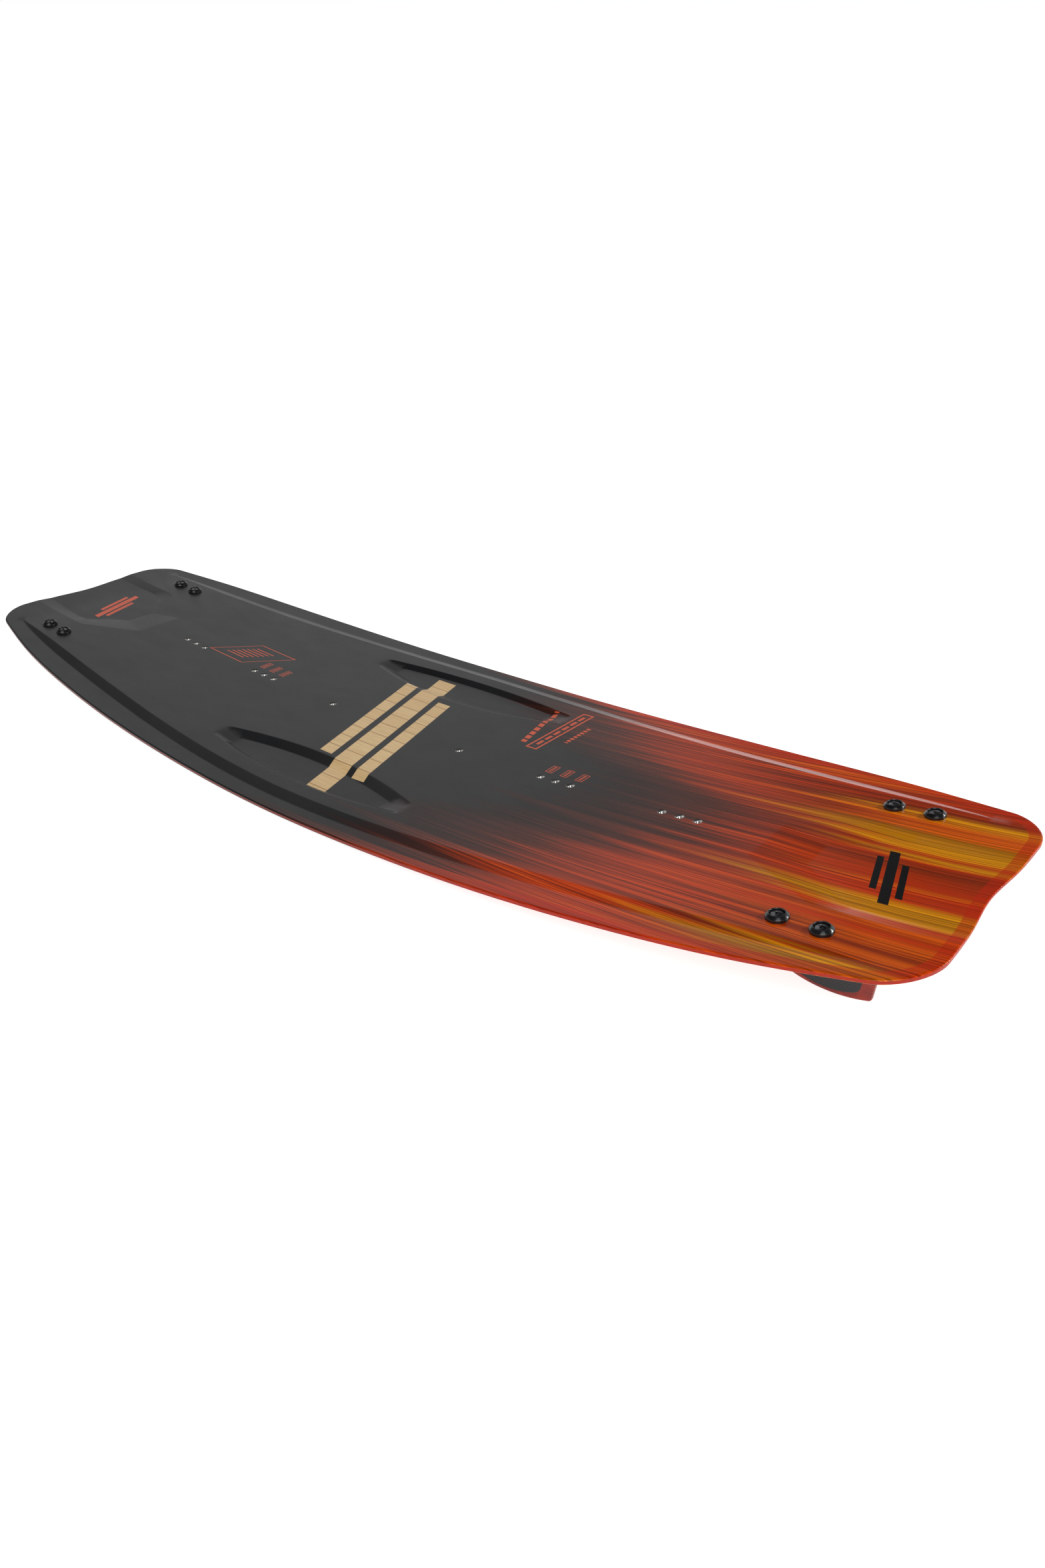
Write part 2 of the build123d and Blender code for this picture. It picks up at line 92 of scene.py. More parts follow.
# Scoops: distance from the middle, depth, slope of the side walls, half width at the floor and the deck
SCOOP_X = [400, 480, 492, 540, 572, 600, 650, 705]
SCOOP_DEPTH = [-6, -0.8, 0.0, 3.3, 3.3, 3.1, 2.2, 1.2]
SCOOP_SLOPE = [0.0805, 0.0805, 0.0805, 0.0805, 0.093, 0.203, 0.126, 0.0615]
SCOOP_FLOOR = [33, 33, 33, 18.7, 42.1, 62.0, 59.5, 57.0]
SCOOP_TOP = [33, 33, 33, 59.7, 77.5, 77.3, 77.0, 76.5]
SCOOP_LINES_END = 682
SCOOP_RAMP = (2, 3)  # the stations where its floor starts to fall and where it is down

BEVEL_BEND = 0.9  # half width of the rounding along the bevel's two edges
RELIEF_BEND = 0.35  # the same for the reliefs and scoops, measured in depth
SCOOP_BEND = 0.12
EDGE_ACROSS = 2.3  # the rounded edge of the sheets, across and down
EDGE_DOWN = SKIN
EDGE_STEPS = 7
SIDEWALL_BULGE = 0.12
SIDEWALL_CROWN = [0, 0.7, 1, 1, 0.7, 0]  # its share at even steps from the top to the bottom

INSERT_RADIUS = 4.5
INSERT_CLEARANCE = 0.02
SCREW_HOLE_RADIUS = 3.3

# The meshes: how far apart their points are, and the parallels of each line where the deck bends
OUTLINE_STEP = 3.0
FEATURE_STEP = 7.0
GRID_STEP = 9.0
GRID_CLEARANCE = 4.5
RELIEF_LINES = [-1.0, -0.5, 0, 0.5, 1.0]
SCOOP_LINES = [-1.2, 0, 1.2]
RAMP_LINES = [-1.5, 0, 1.5]
CIRCLE_POINTS = 40
HOLE_COLLAR = 1.35  # radius of the ring of points round each hole, over the hole's own
SCREW_SHARP = 32  # degrees between two faces of a screw whose edge is sharp


def base_height(x):
    """Height of the base over the ground."""
    share = x / HALF_LENGTH
    return BASE_CLEARANCE + ROCKER * share**2 - ROCKER_EASING * share**4


def soft(value, bend):
    """The larger of value and zero, rounded off within bend of zero."""
    return np.where(value > bend, value, np.clip(value + bend, 0, None) ** 2 / (4 * bend))


def soft_min(a, b, bend):
    """The smaller of a and b, rounded off where they are close."""
    return b - soft(b - a, bend)


def cubic(t, start, end, leaving, arriving):
    """From start at t = 0 to end at t = 1, with the slope at each."""
    first = start * (1 + 2 * t) * (1 - t) ** 2 + leaving * t * (1 - t) ** 2
    second = end * t**2 * (3 - 2 * t) + arriving * t**2 * (t - 1)
    return first + second


def smooth(x, stations, values):
    """A smooth curve through values at the stations, level at the first."""
    stations = np.asarray(stations, float)
    values = np.asarray(values, float)
    slopes = np.gradient(values, stations)
    slopes[0] = 0.0
    i = np.clip(np.searchsorted(stations, x) - 1, 0, len(stations) - 2)
    width = stations[i + 1] - stations[i]
    t = (x - stations[i]) / width
    return cubic(t, values[i], values[i + 1], slopes[i] * width, slopes[i + 1] * width)


def arc_drop(x, radius):
    """How far an arc has turned away from its middle tangent at x."""
    return radius - np.sqrt(radius**2 - np.clip(np.abs(x), 0, radius / 2) ** 2)


def relief_sides(x):
    """The inner and outer y of a relief's mouth."""
    inner = RELIEF_INNER_Y + arc_drop(x, RELIEF_INNER_RADIUS)
    outer = RELIEF_OUTER_Y - arc_drop(x, RELIEF_OUTER_RADIUS)
    return inner, outer


def relief_depth(x, y):
    """Depth of the two lens-shaped reliefs under the deck."""
    side = np.abs(y)
    inner, outer = relief_sides(x)
    from_inner = (side - inner) * RELIEF_DEPTH / RELIEF_INNER_RUN
    from_outer = (outer - side) * RELIEF_DEPTH / RELIEF_OUTER_RUN
    ramp = RELIEF_HALF_LENGTH - RELIEF_FLOOR_HALF_LENGTH
    from_end = (RELIEF_HALF_LENGTH - np.abs(x)) * RELIEF_DEPTH / ramp
    depth = soft_min(from_inner, from_outer, RELIEF_BEND)
    depth = soft_min(depth, from_end, RELIEF_BEND)
    depth = soft_min(depth, np.full_like(depth, RELIEF_DEPTH), RELIEF_BEND)
    return soft(depth, RELIEF_BEND)


def scoop_depth(x, y):
    """Depth of the two scoops that open to the tips."""
    far = np.abs(x)
    floor = np.interp(far, SCOOP_X, SCOOP_DEPTH)
    slope = np.interp(far, SCOOP_X, SCOOP_SLOPE)
    wall = slope * (np.interp(far, SCOOP_X, SCOOP_TOP) - np.abs(y))
    return soft(soft_min(wall, floor, SCOOP_BEND), SCOOP_BEND)


def deck_height(x, y):
    """Height of the deck over the ground, with its bevels, reliefs and scoops."""
    far = np.abs(x)
    rise = smooth(far, DECK_X, DECK_RISE)
    foot = smooth(far, DECK_X, BEVEL_FOOT)
    run = foot - smooth(far, DECK_X, BEVEL_TOP)
    over = foot - np.abs(y)
    bend = np.minimum(BEVEL_BEND, run / 2)
    bevel = rise / run * (soft(over, bend) - soft(over - run, bend))
    return base_height(x) + RIM_THICKNESS + bevel - relief_depth(x, y) - scoop_depth(x, y)


# ---------------- the outline


def unit(v):
    """A vector, or each row of an array, at length 1."""
    return v / np.linalg.norm(v, axis=-1, keepdims=True)


def spline(points, start, end, step):
    """Points about step apart on the smoothest curve through the given ones, with end directions."""
    p = np.asarray(points, float)
    width = np.linalg.norm(np.diff(p, axis=0), axis=1)
    count = len(p)
    rows = np.eye(count)
    right = np.zeros_like(p)
    right[0] = unit(np.asarray(start, float))
    right[-1] = unit(np.asarray(end, float))
    for i in range(1, count - 1):
        rows[i, i - 1 : i + 2] = [1 / width[i - 1], 2 / width[i - 1] + 2 / width[i], 1 / width[i]]
        right[i] = 3 * ((p[i] - p[i - 1]) / width[i - 1] ** 2 + (p[i + 1] - p[i]) / width[i] ** 2)
    slopes = np.linalg.solve(rows, right)
    out = []
    for i in range(count - 1):
        t = np.linspace(0, 1, max(2, round(width[i] / step)), endpoint=False)[:, None]
        out.append(cubic(t, p[i], p[i + 1], slopes[i] * width[i], slopes[i + 1] * width[i]))
    return np.vstack([*out, p[-1:]])


def whole_outline():
    """The closed outline, clockwise from the middle of the back rail, with points at the joints."""
    rail = spline(RAIL_POINTS, (1, 0), (1, -RAIL_END_SLOPE), OUTLINE_STEP)
    corner = spline(CORNER_POINTS, (1, -RAIL_END_SLOPE), (0, -1), OUTLINE_STEP)
    tip = spline(TIP_POINTS, (0, -1), (0, -1), OUTLINE_STEP)
    quarter = np.vstack([rail[:-1], corner[:-1], tip])
    i = int(np.searchsorted(quarter[: len(rail), 0], SIDEWALL_JOINT_X))
    share = (SIDEWALL_JOINT_X - quarter[i - 1, 0]) / (quarter[i, 0] - quarter[i - 1, 0])
    quarter[i] = quarter[i - 1] + share * (quarter[i] - quarter[i - 1])
    front = (quarter * [1, -1])[::-1][1:]
    left = (quarter * [-1, -1])[1:]
    back = (quarter * [-1, 1])[::-1][1:-1]
    return np.vstack([quarter, front, left, back])


outline = whole_outline()
outline_along = unit(np.roll(outline, -1, axis=0) - np.roll(outline, 1, axis=0))
outline_inward = np.stack([outline_along[:, 1], -outline_along[:, 0]], axis=1)


def inset_ring(inset):
    """The outline pulled in."""
    return outline + outline_inward * inset


def edge_distance(points):
    """How far each point is inside the outline, negative outside, and the outward direction there."""
    distance = np.empty(len(points))
    outward = np.empty((len(points), 2))
    ends = np.roll(outline, -1, axis=0)
    along = ends - outline
    length2 = (along**2).sum(1)
    for i in range(0, len(points), 2000):
        part = points[i : i + 2000]
        gap = part[:, None] - outline[None]
        share = np.clip((gap * along).sum(2) / length2, 0, 1)
        miss = gap - share[..., None] * along
        space = (miss**2).sum(2)
        best = space.argmin(1)
        row = np.arange(len(part))
        t = share[row, best][:, None]
        inward = unit(outline_inward[best] * (1 - t) + np.roll(outline_inward, -1, axis=0)[best] * t)
        side = np.where((miss[row, best] * inward).sum(1) < -1e-6, -1, 1)
        distance[i : i + 2000] = np.sqrt(space[row, best]) * side
        outward[i : i + 2000] = -inward
    return distance, outward


# ---------------- meshes


def add_object(name, data):
    """A new object in the scene."""
    made = bpy.data.objects.new(name, data)
    bpy.context.scene.collection.objects.link(made)
    return made


def make_piece(name, vertices, faces, body, slot, replaced, normals=None, sharp=SCREW_SHARP):
    """A piece from vertices in millimetres, with its slot's material and the nodes that it replaces.

    normals has one for each corner of each face; without it, edges over sharp degrees are sharp.
    """
    mesh = bpy.data.meshes.new(name)
    mesh.from_pydata((np.asarray(vertices) * MM).tolist(), [], [list(map(int, f)) for f in faces])
    mesh.update()
    mesh.shade_smooth()
    if normals is None:
        mesh.set_sharp_from_angle(angle=math.radians(sharp))
    else:
        mesh.normals_split_custom_set(np.asarray(normals).tolist())
    mesh.materials.append(materials[slot])
    piece = add_object(name, mesh)
    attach(piece, body)
    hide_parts(*replaced)
    return piece


def wall_faces(rows, size, wrapped, around):
    """Faces between rows of points: wrapped from the last row to the first, closed around each row."""
    faces = []
    for row in range(rows if wrapped else rows - 1):
        after = (row + 1) % rows
        for i in range(size if around else size - 1):
            j = (i + 1) % size
            faces.append([row * size + i, row * size + j, after * size + j, after * size + i])
    return faces


class Drawing:
    """Points and lines of a flat drawing that is cut into triangles."""

    def __init__(self):
        self.points = []
        self.edges = []

    def line(self, points, closed=False):
        """Adds a line whose points are kept as edges of triangles."""
        first = len(self.points)
        self.points.extend(map(tuple, points))
        last = len(self.points) - 1
        self.edges.extend((i, i + 1) for i in range(first, last))
        if closed:
            self.edges.append((last, first))

    def band(self, points, offsets, closed=False):
        """Adds a line and its parallels at the offsets."""
        points = np.asarray(points, float)
        if closed:
            along = np.roll(points, -1, axis=0) - np.roll(points, 1, axis=0)
        else:
            along = np.gradient(points, axis=0)
        along = unit(along)
        across = np.stack([along[:, 1], -along[:, 0]], axis=1)
        for offset in offsets:
            self.line(points + across * offset, closed)

    def fill(self, step, clearance):
        """Adds a grid of points over the core, each at least clearance from every point so far."""
        tree = KDTree(len(self.points))
        for i, (x, y) in enumerate(self.points):
            tree.insert((x, y, 0), i)
        tree.balance()
        x = np.arange(-HALF_LENGTH + step, HALF_LENGTH, step)
        y = np.arange(-HALF_WIDTH + step, HALF_WIDTH, step)
        grid = np.stack(np.meshgrid(x, y, indexing="ij"), 2).reshape(-1, 2)
        grid = grid[edge_distance(grid)[0] > SIDEWALL_WIDTH + clearance]
        self.points.extend((px, py) for px, py in grid if tree.find((px, py, 0))[2] > clearance)

    def triangles(self):
        """Points and anticlockwise triangles inside the outermost lines."""
        vectors = [Vector(p) for p in self.points]
        found = delaunay_2d_cdt(vectors, self.edges, [], 1, 1e-4, False)
        points = np.array([tuple(v) for v in found[0]])
        faces = np.array(found[2])
        a, b, c = (points[faces[:, k]] for k in range(3))
        area = (b[:, 0] - a[:, 0]) * (c[:, 1] - a[:, 1]) - (b[:, 1] - a[:, 1]) * (c[:, 0] - a[:, 0])
        faces[area < 0] = faces[area < 0][:, ::-1]
        return points, faces[np.abs(area) > 1e-6]


def circle(centre, radius, count=CIRCLE_POINTS):
    """Points of a circle, anticlockwise."""
    angle = 2 * math.pi * np.arange(count) / count
    return np.stack([centre[0] + radius * np.cos(angle), centre[1] + radius * np.sin(angle)], 1)


def without_holes(points, faces, holes):
    """The faces whose middle is outside every hole."""
    middle = points[faces].mean(1)
    keep = np.ones(len(faces), bool)
    for centre, radius in holes:
        keep &= np.hypot(*(middle - centre).T) > radius * 0.99
    return faces[keep]


def outer_edges(faces):
    """The directed edges that belong to one face only."""
    edges = np.vstack([faces[:, [0, 1]], faces[:, [1, 2]], faces[:, [2, 0]]])
    known = {tuple(e) for e in edges.tolist()}
    return np.array([e for e in edges.tolist() if (e[1], e[0]) not in known])


def surface_normals(height, points, sign):
    """Upward (sign 1) or downward normals of a height over the ground."""
    step = 0.05
    x, y = points.T
    slope_x = (height(x + step, y) - height(x - step, y)) / (2 * step)
    slope_y = (height(x, y + step) - height(x, y - step)) / (2 * step)
    return unit(np.stack([-slope_x, -slope_y, np.ones_like(x)], 1)) * sign


def edge_rounding(distance):
    """How far the rounded edge has dropped, and the sine and cosine of its turn."""
    sine = np.clip(1 - distance / EDGE_ACROSS, 0, 1)
    cosine = np.sqrt(1 - sine**2)
    return EDGE_DOWN * (1 - cosine), sine, cosine


def shell(drawing, height, sign, holes):
    """A skin of even thickness on a height, its outer edge rounded down to the inner face.

    sign is 1 for a skin whose outside is its upper face and -1 for one that faces the ground.
    """
    points, faces = drawing.triangles()
    faces = without_holes(points, faces, holes)
    used = np.unique(faces)
    place = np.full(len(points), -1)
    place[used] = np.arange(len(used))
    points = points[used]
    faces = place[faces]
    distance, outward = edge_distance(points)
    drop, sine, cosine = edge_rounding(distance)
    z = height(points[:, 0], points[:, 1])
    outside = np.column_stack([points, z - sign * drop])
    inside = np.column_stack([points, z - sign * SKIN])
    flat = surface_normals(height, points, sign)
    turn = np.column_stack([outward * sine[:, None] / EDGE_ACROSS, np.zeros(len(points))])
    rounded = unit(turn + flat * cosine[:, None] / EDGE_DOWN)
    count = len(points)
    if sign < 0:
        faces = faces[:, ::-1]
    at_rim = distance < 0.01
    faces = faces[~at_rim[faces].all(1)]
    under = np.where(at_rim, np.arange(count), np.arange(count) + count)
    vertices = np.vstack([outside, inside])
    back = faces[:, ::-1]
    all_faces = faces.tolist() + under[back].tolist()
    normals = list(rounded[faces].reshape(-1, 3)) + list(-flat[back].reshape(-1, 3))
    for a, b in outer_edges(faces):
        if at_rim[a] and at_rim[b]:
            continue
        all_faces.append([b, a, under[a], under[b]])
        along = outside[b] - outside[a]
        across = np.cross(along, flat[a])
        normals += [unit(across)] * 4
    return vertices, all_faces, normals


def station_line(far_from, far_to, y_of):
    """Points along x at even steps, with y from a function of x."""
    count = max(2, round(abs(far_to - far_from) / FEATURE_STEP) + 1)
    x = np.linspace(far_from, far_to, count)
    return np.stack([x, y_of(x)], 1)


def add_edge_rings(drawing):
    """The outline and the rings of its rounded edge, and where the sidewall ends."""
    for i in range(EDGE_STEPS + 1):
        drawing.line(inset_ring(EDGE_ACROSS * (1 - math.sin(math.pi / 2 * i / EDGE_STEPS))), True)
    for inset in (2 * EDGE_ACROSS, SIDEWALL_WIDTH):
        drawing.line(inset_ring(inset), True)


def add_holes(drawing, holes):
    """A circle and a wider one round each hole."""
    for centre, radius in holes:
        for share in (1, HOLE_COLLAR):
            drawing.line(circle(centre, radius * share), True)


def add_deck_features(drawing):
    """The lines where the deck bends: bevels, reliefs and scoops."""
    bend = [-BEVEL_BEND, -BEVEL_BEND / 2, 0, BEVEL_BEND / 2, BEVEL_BEND]
    for values in (BEVEL_FOOT, BEVEL_TOP):
        line = station_line(-BEVEL_LINES_END, BEVEL_LINES_END, lambda x: smooth(np.abs(x), DECK_X, values))
        for side in (1, -1):
            drawing.band(line * [1, side], bend)
    for side in (1, -1):
        for inset_in, inset_out, half in (
            (0, 0, RELIEF_HALF_LENGTH),
            (RELIEF_INNER_RUN, RELIEF_OUTER_RUN, RELIEF_FLOOR_HALF_LENGTH),
        ):
            inner = station_line(-half, half, lambda x: relief_sides(x)[0] + inset_in)
            outer = station_line(half, -half, lambda x: relief_sides(x)[1] - inset_out)
            end = np.linspace(inner[-1], outer[0], 6)[1:-1]
            start = np.linspace(outer[-1], inner[0], 6)[1:-1]
            loop = np.vstack([inner, end, outer, start])
            drawing.band(loop * [1, side], RELIEF_LINES, closed=True)
    scoop_start = SCOOP_X[SCOOP_RAMP[0]]
    for end in (1, -1):
        for side in (1, -1):
            for values in (SCOOP_TOP, SCOOP_FLOOR):
                line = station_line(scoop_start, SCOOP_LINES_END, lambda x: np.interp(x, SCOOP_X, values))
                drawing.band(line * [end, side], SCOOP_LINES)
        for i in SCOOP_RAMP:
            half = SCOOP_FLOOR[i]
            line = np.stack([np.full(9, SCOOP_X[i]), np.linspace(-half, half, 9)], 1)
            drawing.band(line * [end, 1], RAMP_LINES)


insert_spots = {}
for mount in frame["record"]["mounts"]:
    group = mount["name"].split("_thread_")[0] + "_inserts"
    spot = (np.array(mount["pos_m"]) / MM, np.array(mount["axis"]))
    insert_spots.setdefault(group, []).append(spot)
screw_spots = {
    joint["child"]: (np.array(joint["pos_m"]) / MM, np.array(joint["axis"]))
    for joint in frame["joints"]
    if joint["type"] == "hinge"
}


def on_surface(spot, height):
    """Where a spot's axis meets a height over the ground, in a few steps along the axis."""
    point, axis = spot
    for _ in range(4):
        point = point + axis * (height(point[:1], point[1:2])[0] - point[2]) / axis[2]
    return point


# ---------------- materials

MIDDLE = (0.3, 0.7)  # between which most values of a noise lie
GLOW_DEPTH = 0.004  # how far light goes into a plastic, in metres


class Nodes:
    """Builds the nodes of a material or of the sky."""

    def __init__(self, tree):
        self.tree = tree

    def put(self, socket, value):
        """Links a socket, or sets a number or colour, on an input."""
        if isinstance(value, bpy.types.NodeSocket):
            self.tree.links.new(value, socket)
        else:
            socket.default_value = value

    def node(self, kind, *inputs, **settings):
        """A new node with its settings and its first inputs."""
        made = self.tree.nodes.new(kind)
        for key, value in settings.items():
            setattr(made, key, value)
        for socket, value in zip(made.inputs, inputs):
            if value is not None:
                self.put(socket, value)
        return made

    def mix(self, share, a, b, blend="MIX"):
        """A mix of two colours."""
        made = self.node("ShaderNodeMix", data_type="RGBA", blend_type=blend)
        self.put(made.inputs[0], share)
        self.put(made.inputs[6], a)
        self.put(made.inputs[7], b)
        return made.outputs[2]

    def ramp(self, value, stops):
        """Colours along a value, from (place, colour) pairs."""
        made = self.node("ShaderNodeValToRGB", value)
        band = made.color_ramp
        while len(band.elements) < len(stops):
            band.elements.new(0.5)
        for element, (at, colour) in zip(band.elements, stops):
            element.position = at
            element.color = colour
        return made.outputs[0]


class Paint(Nodes):
    """Builds one material, in millimetres of the board."""

    def __init__(self, name, **inputs):
        self.material = bpy.data.materials.new(name)
        self.material.use_nodes = True
        super().__init__(self.material.node_tree)
        self.surface = self.tree.nodes["Principled BSDF"]
        for key, value in inputs.items():
            self.surface.inputs[key.replace("_", " ")].default_value = value
        place = self.node("ShaderNodeTexCoord").outputs["Object"]
        self.place = self.vector("MULTIPLY", place, (1 / MM, 1 / MM, 1 / MM))
        self.x, self.y, self.z = self.node("ShaderNodeSeparateXYZ", self.place).outputs

    def math(self, operation, *inputs):
        return self.node("ShaderNodeMath", *inputs, operation=operation).outputs[0]

    def plus(self, a, b):
        return self.math("ADD", a, b)

    def minus(self, a, b):
        return self.math("SUBTRACT", a, b)

    def times(self, a, b):
        return self.math("MULTIPLY", a, b)

    def vector(self, operation, *inputs):
        return self.node("ShaderNodeVectorMath", *inputs, operation=operation).outputs[0]

    def noise(self, *turns, detail, roughness=0.55, distortion=0.0):
        """Smooth noise, with its turns for each millimetre along x, y and z."""
        made = self.node("ShaderNodeTexNoise", self.vector("MULTIPLY", self.place, turns))
        made.inputs["Scale"].default_value = 1.0
        made.inputs["Detail"].default_value = detail
        made.inputs["Roughness"].default_value = roughness
        made.inputs["Distortion"].default_value = distortion
        return made.outputs["Fac"]

    def range(self, value, from_low, from_high, to_low=0.0, to_high=1.0, kind="SMOOTHSTEP"):
        """The value's place between two limits, moved to two others and kept between them."""
        limits = (from_low, from_high, to_low, to_high)
        return self.node("ShaderNodeMapRange", value, *limits, interpolation_type=kind).outputs[0]

    def linear(self, value, *limits):
        """The same without the smooth ends."""
        return self.range(value, *limits, kind="LINEAR")

    def weave(self, turns):
        """-1 to 1 over the squares of a plain weave."""
        over = self.math("SINE", self.times(self.x, turns))
        return self.times(over, self.math("SINE", self.times(self.y, turns)))

    def box(self, x, y, half_x, half_y, slant=0.0):
        """1 inside a parallelogram round (x, y), whose sides lean by slant."""
        over = self.minus(self.y, y)
        lean = self.times(over, slant)
        along = self.minus(self.minus(self.x, x), lean)
        in_x = self.math("LESS_THAN", self.math("ABSOLUTE", along), half_x)
        in_y = self.math("LESS_THAN", self.math("ABSOLUTE", over), half_y)
        return self.times(in_x, in_y)

    def frame(self, x, y, half_x, half_y, width, slant=0.0):
        """1 on the outline of such a parallelogram."""
        whole = self.box(x, y, half_x, half_y, slant)
        return self.minus(whole, self.box(x, y, half_x - width, half_y - width, slant))

    def dashes(self, x, y, half_x, half_y, pitch, share, slant=0.0):
        """Such a parallelogram cut into dashes along y."""
        turn = self.math("FRACT", self.math("DIVIDE", self.y, pitch))
        printed = self.math("LESS_THAN", turn, share)
        return self.times(self.box(x, y, half_x, half_y, slant), printed)

    def union(self, masks):
        """1 where any of the masks is."""
        whole = masks[0]
        for mask in masks[1:]:
            whole = self.math("MAXIMUM", whole, mask)
        return whole

    def finish(self, colour, rough, relief, depth, strength=0.4):
        """The material, with relief of 0 to 1 as deep as depth in metres."""
        bump = self.node("ShaderNodeBump")
        bump.inputs["Strength"].default_value = strength
        bump.inputs["Distance"].default_value = depth
        self.put(bump.inputs["Height"], relief)
        for key, value in (("Base Color", colour), ("Roughness", rough), ("Normal", bump.outputs[0])):
            self.put(self.surface.inputs[key], value)
        return self.material


def srgb(red, green, blue):
    """A colour from its 0 to 255 values, as the shader takes it."""
    shares = [v / 255 for v in (red, green, blue)]
    linear = [((v + 0.055) / 1.055) ** 2.4 if v > 0.04 else v / 12.92 for v in shares]
    return (*linear, 1)


GRAPHITE = srgb(20, 21, 22)
GRAPHITE_LIGHT = srgb(26, 27, 28)
FADE_COLOURS = [
    (0.0, srgb(26, 21, 21)),
    (0.25, srgb(46, 20, 15)),
    (0.45, srgb(84, 30, 13)),
    (0.7, srgb(164, 52, 9)),
    (1.0, srgb(216, 82, 4)),
]
DEEP_RED = srgb(116, 28, 6)
RED = srgb(190, 52, 6)
ORANGE = srgb(220, 92, 6)
YELLOW = srgb(226, 148, 4)
OLIVE = srgb(168, 104, 4)
EMBER = srgb(140, 44, 6)
TERRACOTTA = srgb(214, 84, 46)
EDGE_RED = srgb(196, 42, 8)
SIDEWALL_RED = srgb(166, 34, 6)
PALE_WOOD = srgb(216, 184, 134)
WOOD_LINE = srgb(150, 104, 60)
WOOD_STRIP = 24
BLACK = srgb(16, 16, 17)

# Where the graphite starts to turn red: x in the middle, at the front and the back rail; y between them
FADE_START = 225
FADE_FRONT = (-165, -5, 75, FADE_START)
FADE_BACK = (20, 160, FADE_START, 10)
FADE_RIM_LEAD = 120
FADE_LENGTH = 400
TIP_COLOURS = (430, 620)  # x where the reds give way to the bands of the tip

# The streaks across the right tip: distance from the middle line towards the back rail, and colour
STREAK_REACH = 165.0
STREAKS = [
    (-165, ORANGE), (-150, OLIVE), (-137, YELLOW), (-130, EMBER), (-118, ORANGE), (-112, EMBER),
    (-98, ORANGE), (-90, RED), (-78, ORANGE), (-66, RED), (-60, YELLOW), (-55, OLIVE), (-42, YELLOW),
    (-34, RED), (-18, RED), (-13, ORANGE), (-7, RED), (20, EMBER), (29, RED), (34, YELLOW),
    (40, RED), (50, YELLOW), (72, OLIVE), (80, ORANGE), (92, ORANGE), (108, YELLOW), (116, EMBER),
    (140, RED), (150, EMBER), (165, ORANGE),
]


def streak_noise(paint):
    """Long fine and broad streaks along the board."""
    fine = paint.noise(0.0028, 0.42, 0, detail=5, roughness=0.68)
    broad = paint.noise(0.0016, 0.085, 0, detail=3, roughness=0.6)
    hair = paint.noise(0.006, 1.3, 0, detail=3, roughness=0.7)
    return fine, broad, hair


def flame(paint, fine, broad):
    """The streaked colours of the right tip."""
    warp = paint.noise(0.0025, 0.02, 0, detail=2)
    bent = paint.plus(paint.y, paint.linear(warp, 0, 1, -7, 7))
    bent = paint.plus(bent, paint.linear(fine, *MIDDLE, -5, 5))
    across = paint.linear(bent, -STREAK_REACH, STREAK_REACH, 0, 1)
    stops = [((y + STREAK_REACH) / (2 * STREAK_REACH), colour) for y, colour in STREAKS]
    bands = paint.ramp(across, stops)
    mixed = paint.plus(paint.times(broad, 0.55), paint.times(fine, 0.45))
    reds = paint.ramp(mixed, [(0.36, DEEP_RED), (0.46, EMBER), (0.53, RED), (0.64, ORANGE)])
    tipwards = paint.plus(paint.x, paint.linear(broad, *MIDDLE, -110, 110))
    return paint.mix(paint.range(tipwards, *TIP_COLOURS), reds, bands)


def fading(paint, fine, broad, at_rim):
    """0 on the graphite half and 1 on the streaked tip; it starts later in the middle than at the rails."""
    start = paint.math("MINIMUM", paint.range(paint.y, *FADE_FRONT), paint.range(paint.y, *FADE_BACK))
    start = paint.minus(start, paint.times(at_rim, FADE_RIM_LEAD))
    ragged = paint.plus(paint.linear(fine, *MIDDLE, -26, 26), paint.linear(broad, *MIDDLE, -55, 55))
    over = paint.minus(paint.plus(paint.x, ragged), start)
    return paint.linear(over, 0, FADE_LENGTH, 0, 1)


def wood_grain(paint):
    """Pale strips with fine lengthwise grain and a darker line at each joint."""
    strips = paint.math("DIVIDE", paint.y, WOOD_STRIP)
    near_joint = paint.math("ABSOLUTE", paint.minus(paint.math("FRACT", strips), 0.5))
    joint = paint.range(near_joint, 0.452, 0.49)
    number = paint.math("FLOOR", strips)
    tone = paint.node("ShaderNodeTexWhiteNoise", None, number, noise_dimensions="1D").outputs["Value"]
    grain = paint.noise(0.02, 0.9, 0.9, detail=6, roughness=0.7, distortion=0.6)
    colour = paint.ramp(grain, [(0.25, srgb(188, 150, 98)), (0.5, PALE_WOOD), (0.75, srgb(230, 204, 158))])
    colour = paint.mix(paint.times(tone, 0.35), colour, srgb(196, 156, 104))
    return paint.mix(paint.times(joint, 0.75), colour, WOOD_LINE), grain


def three_bars(paint, x, y, bars, slant=-0.3):
    """Slanted bars round (x, y), from (x, y, half width, half length) of each."""
    return [paint.box(x + at_x, y + at_y, half_x, half_y, slant) for at_x, at_y, half_x, half_y in bars]


WINDOW_BARS = [(0, 0, 15, 145), (-38, 10, 10, 96), (38, -10, 10, 96)]
TIP_BARS = [(0, 0, 4.5, 41), (-12, 3, 3, 26), (12, -3, 3, 26)]
SCALE_BOXES = [-268, -248, -228, 228, 248, 268]


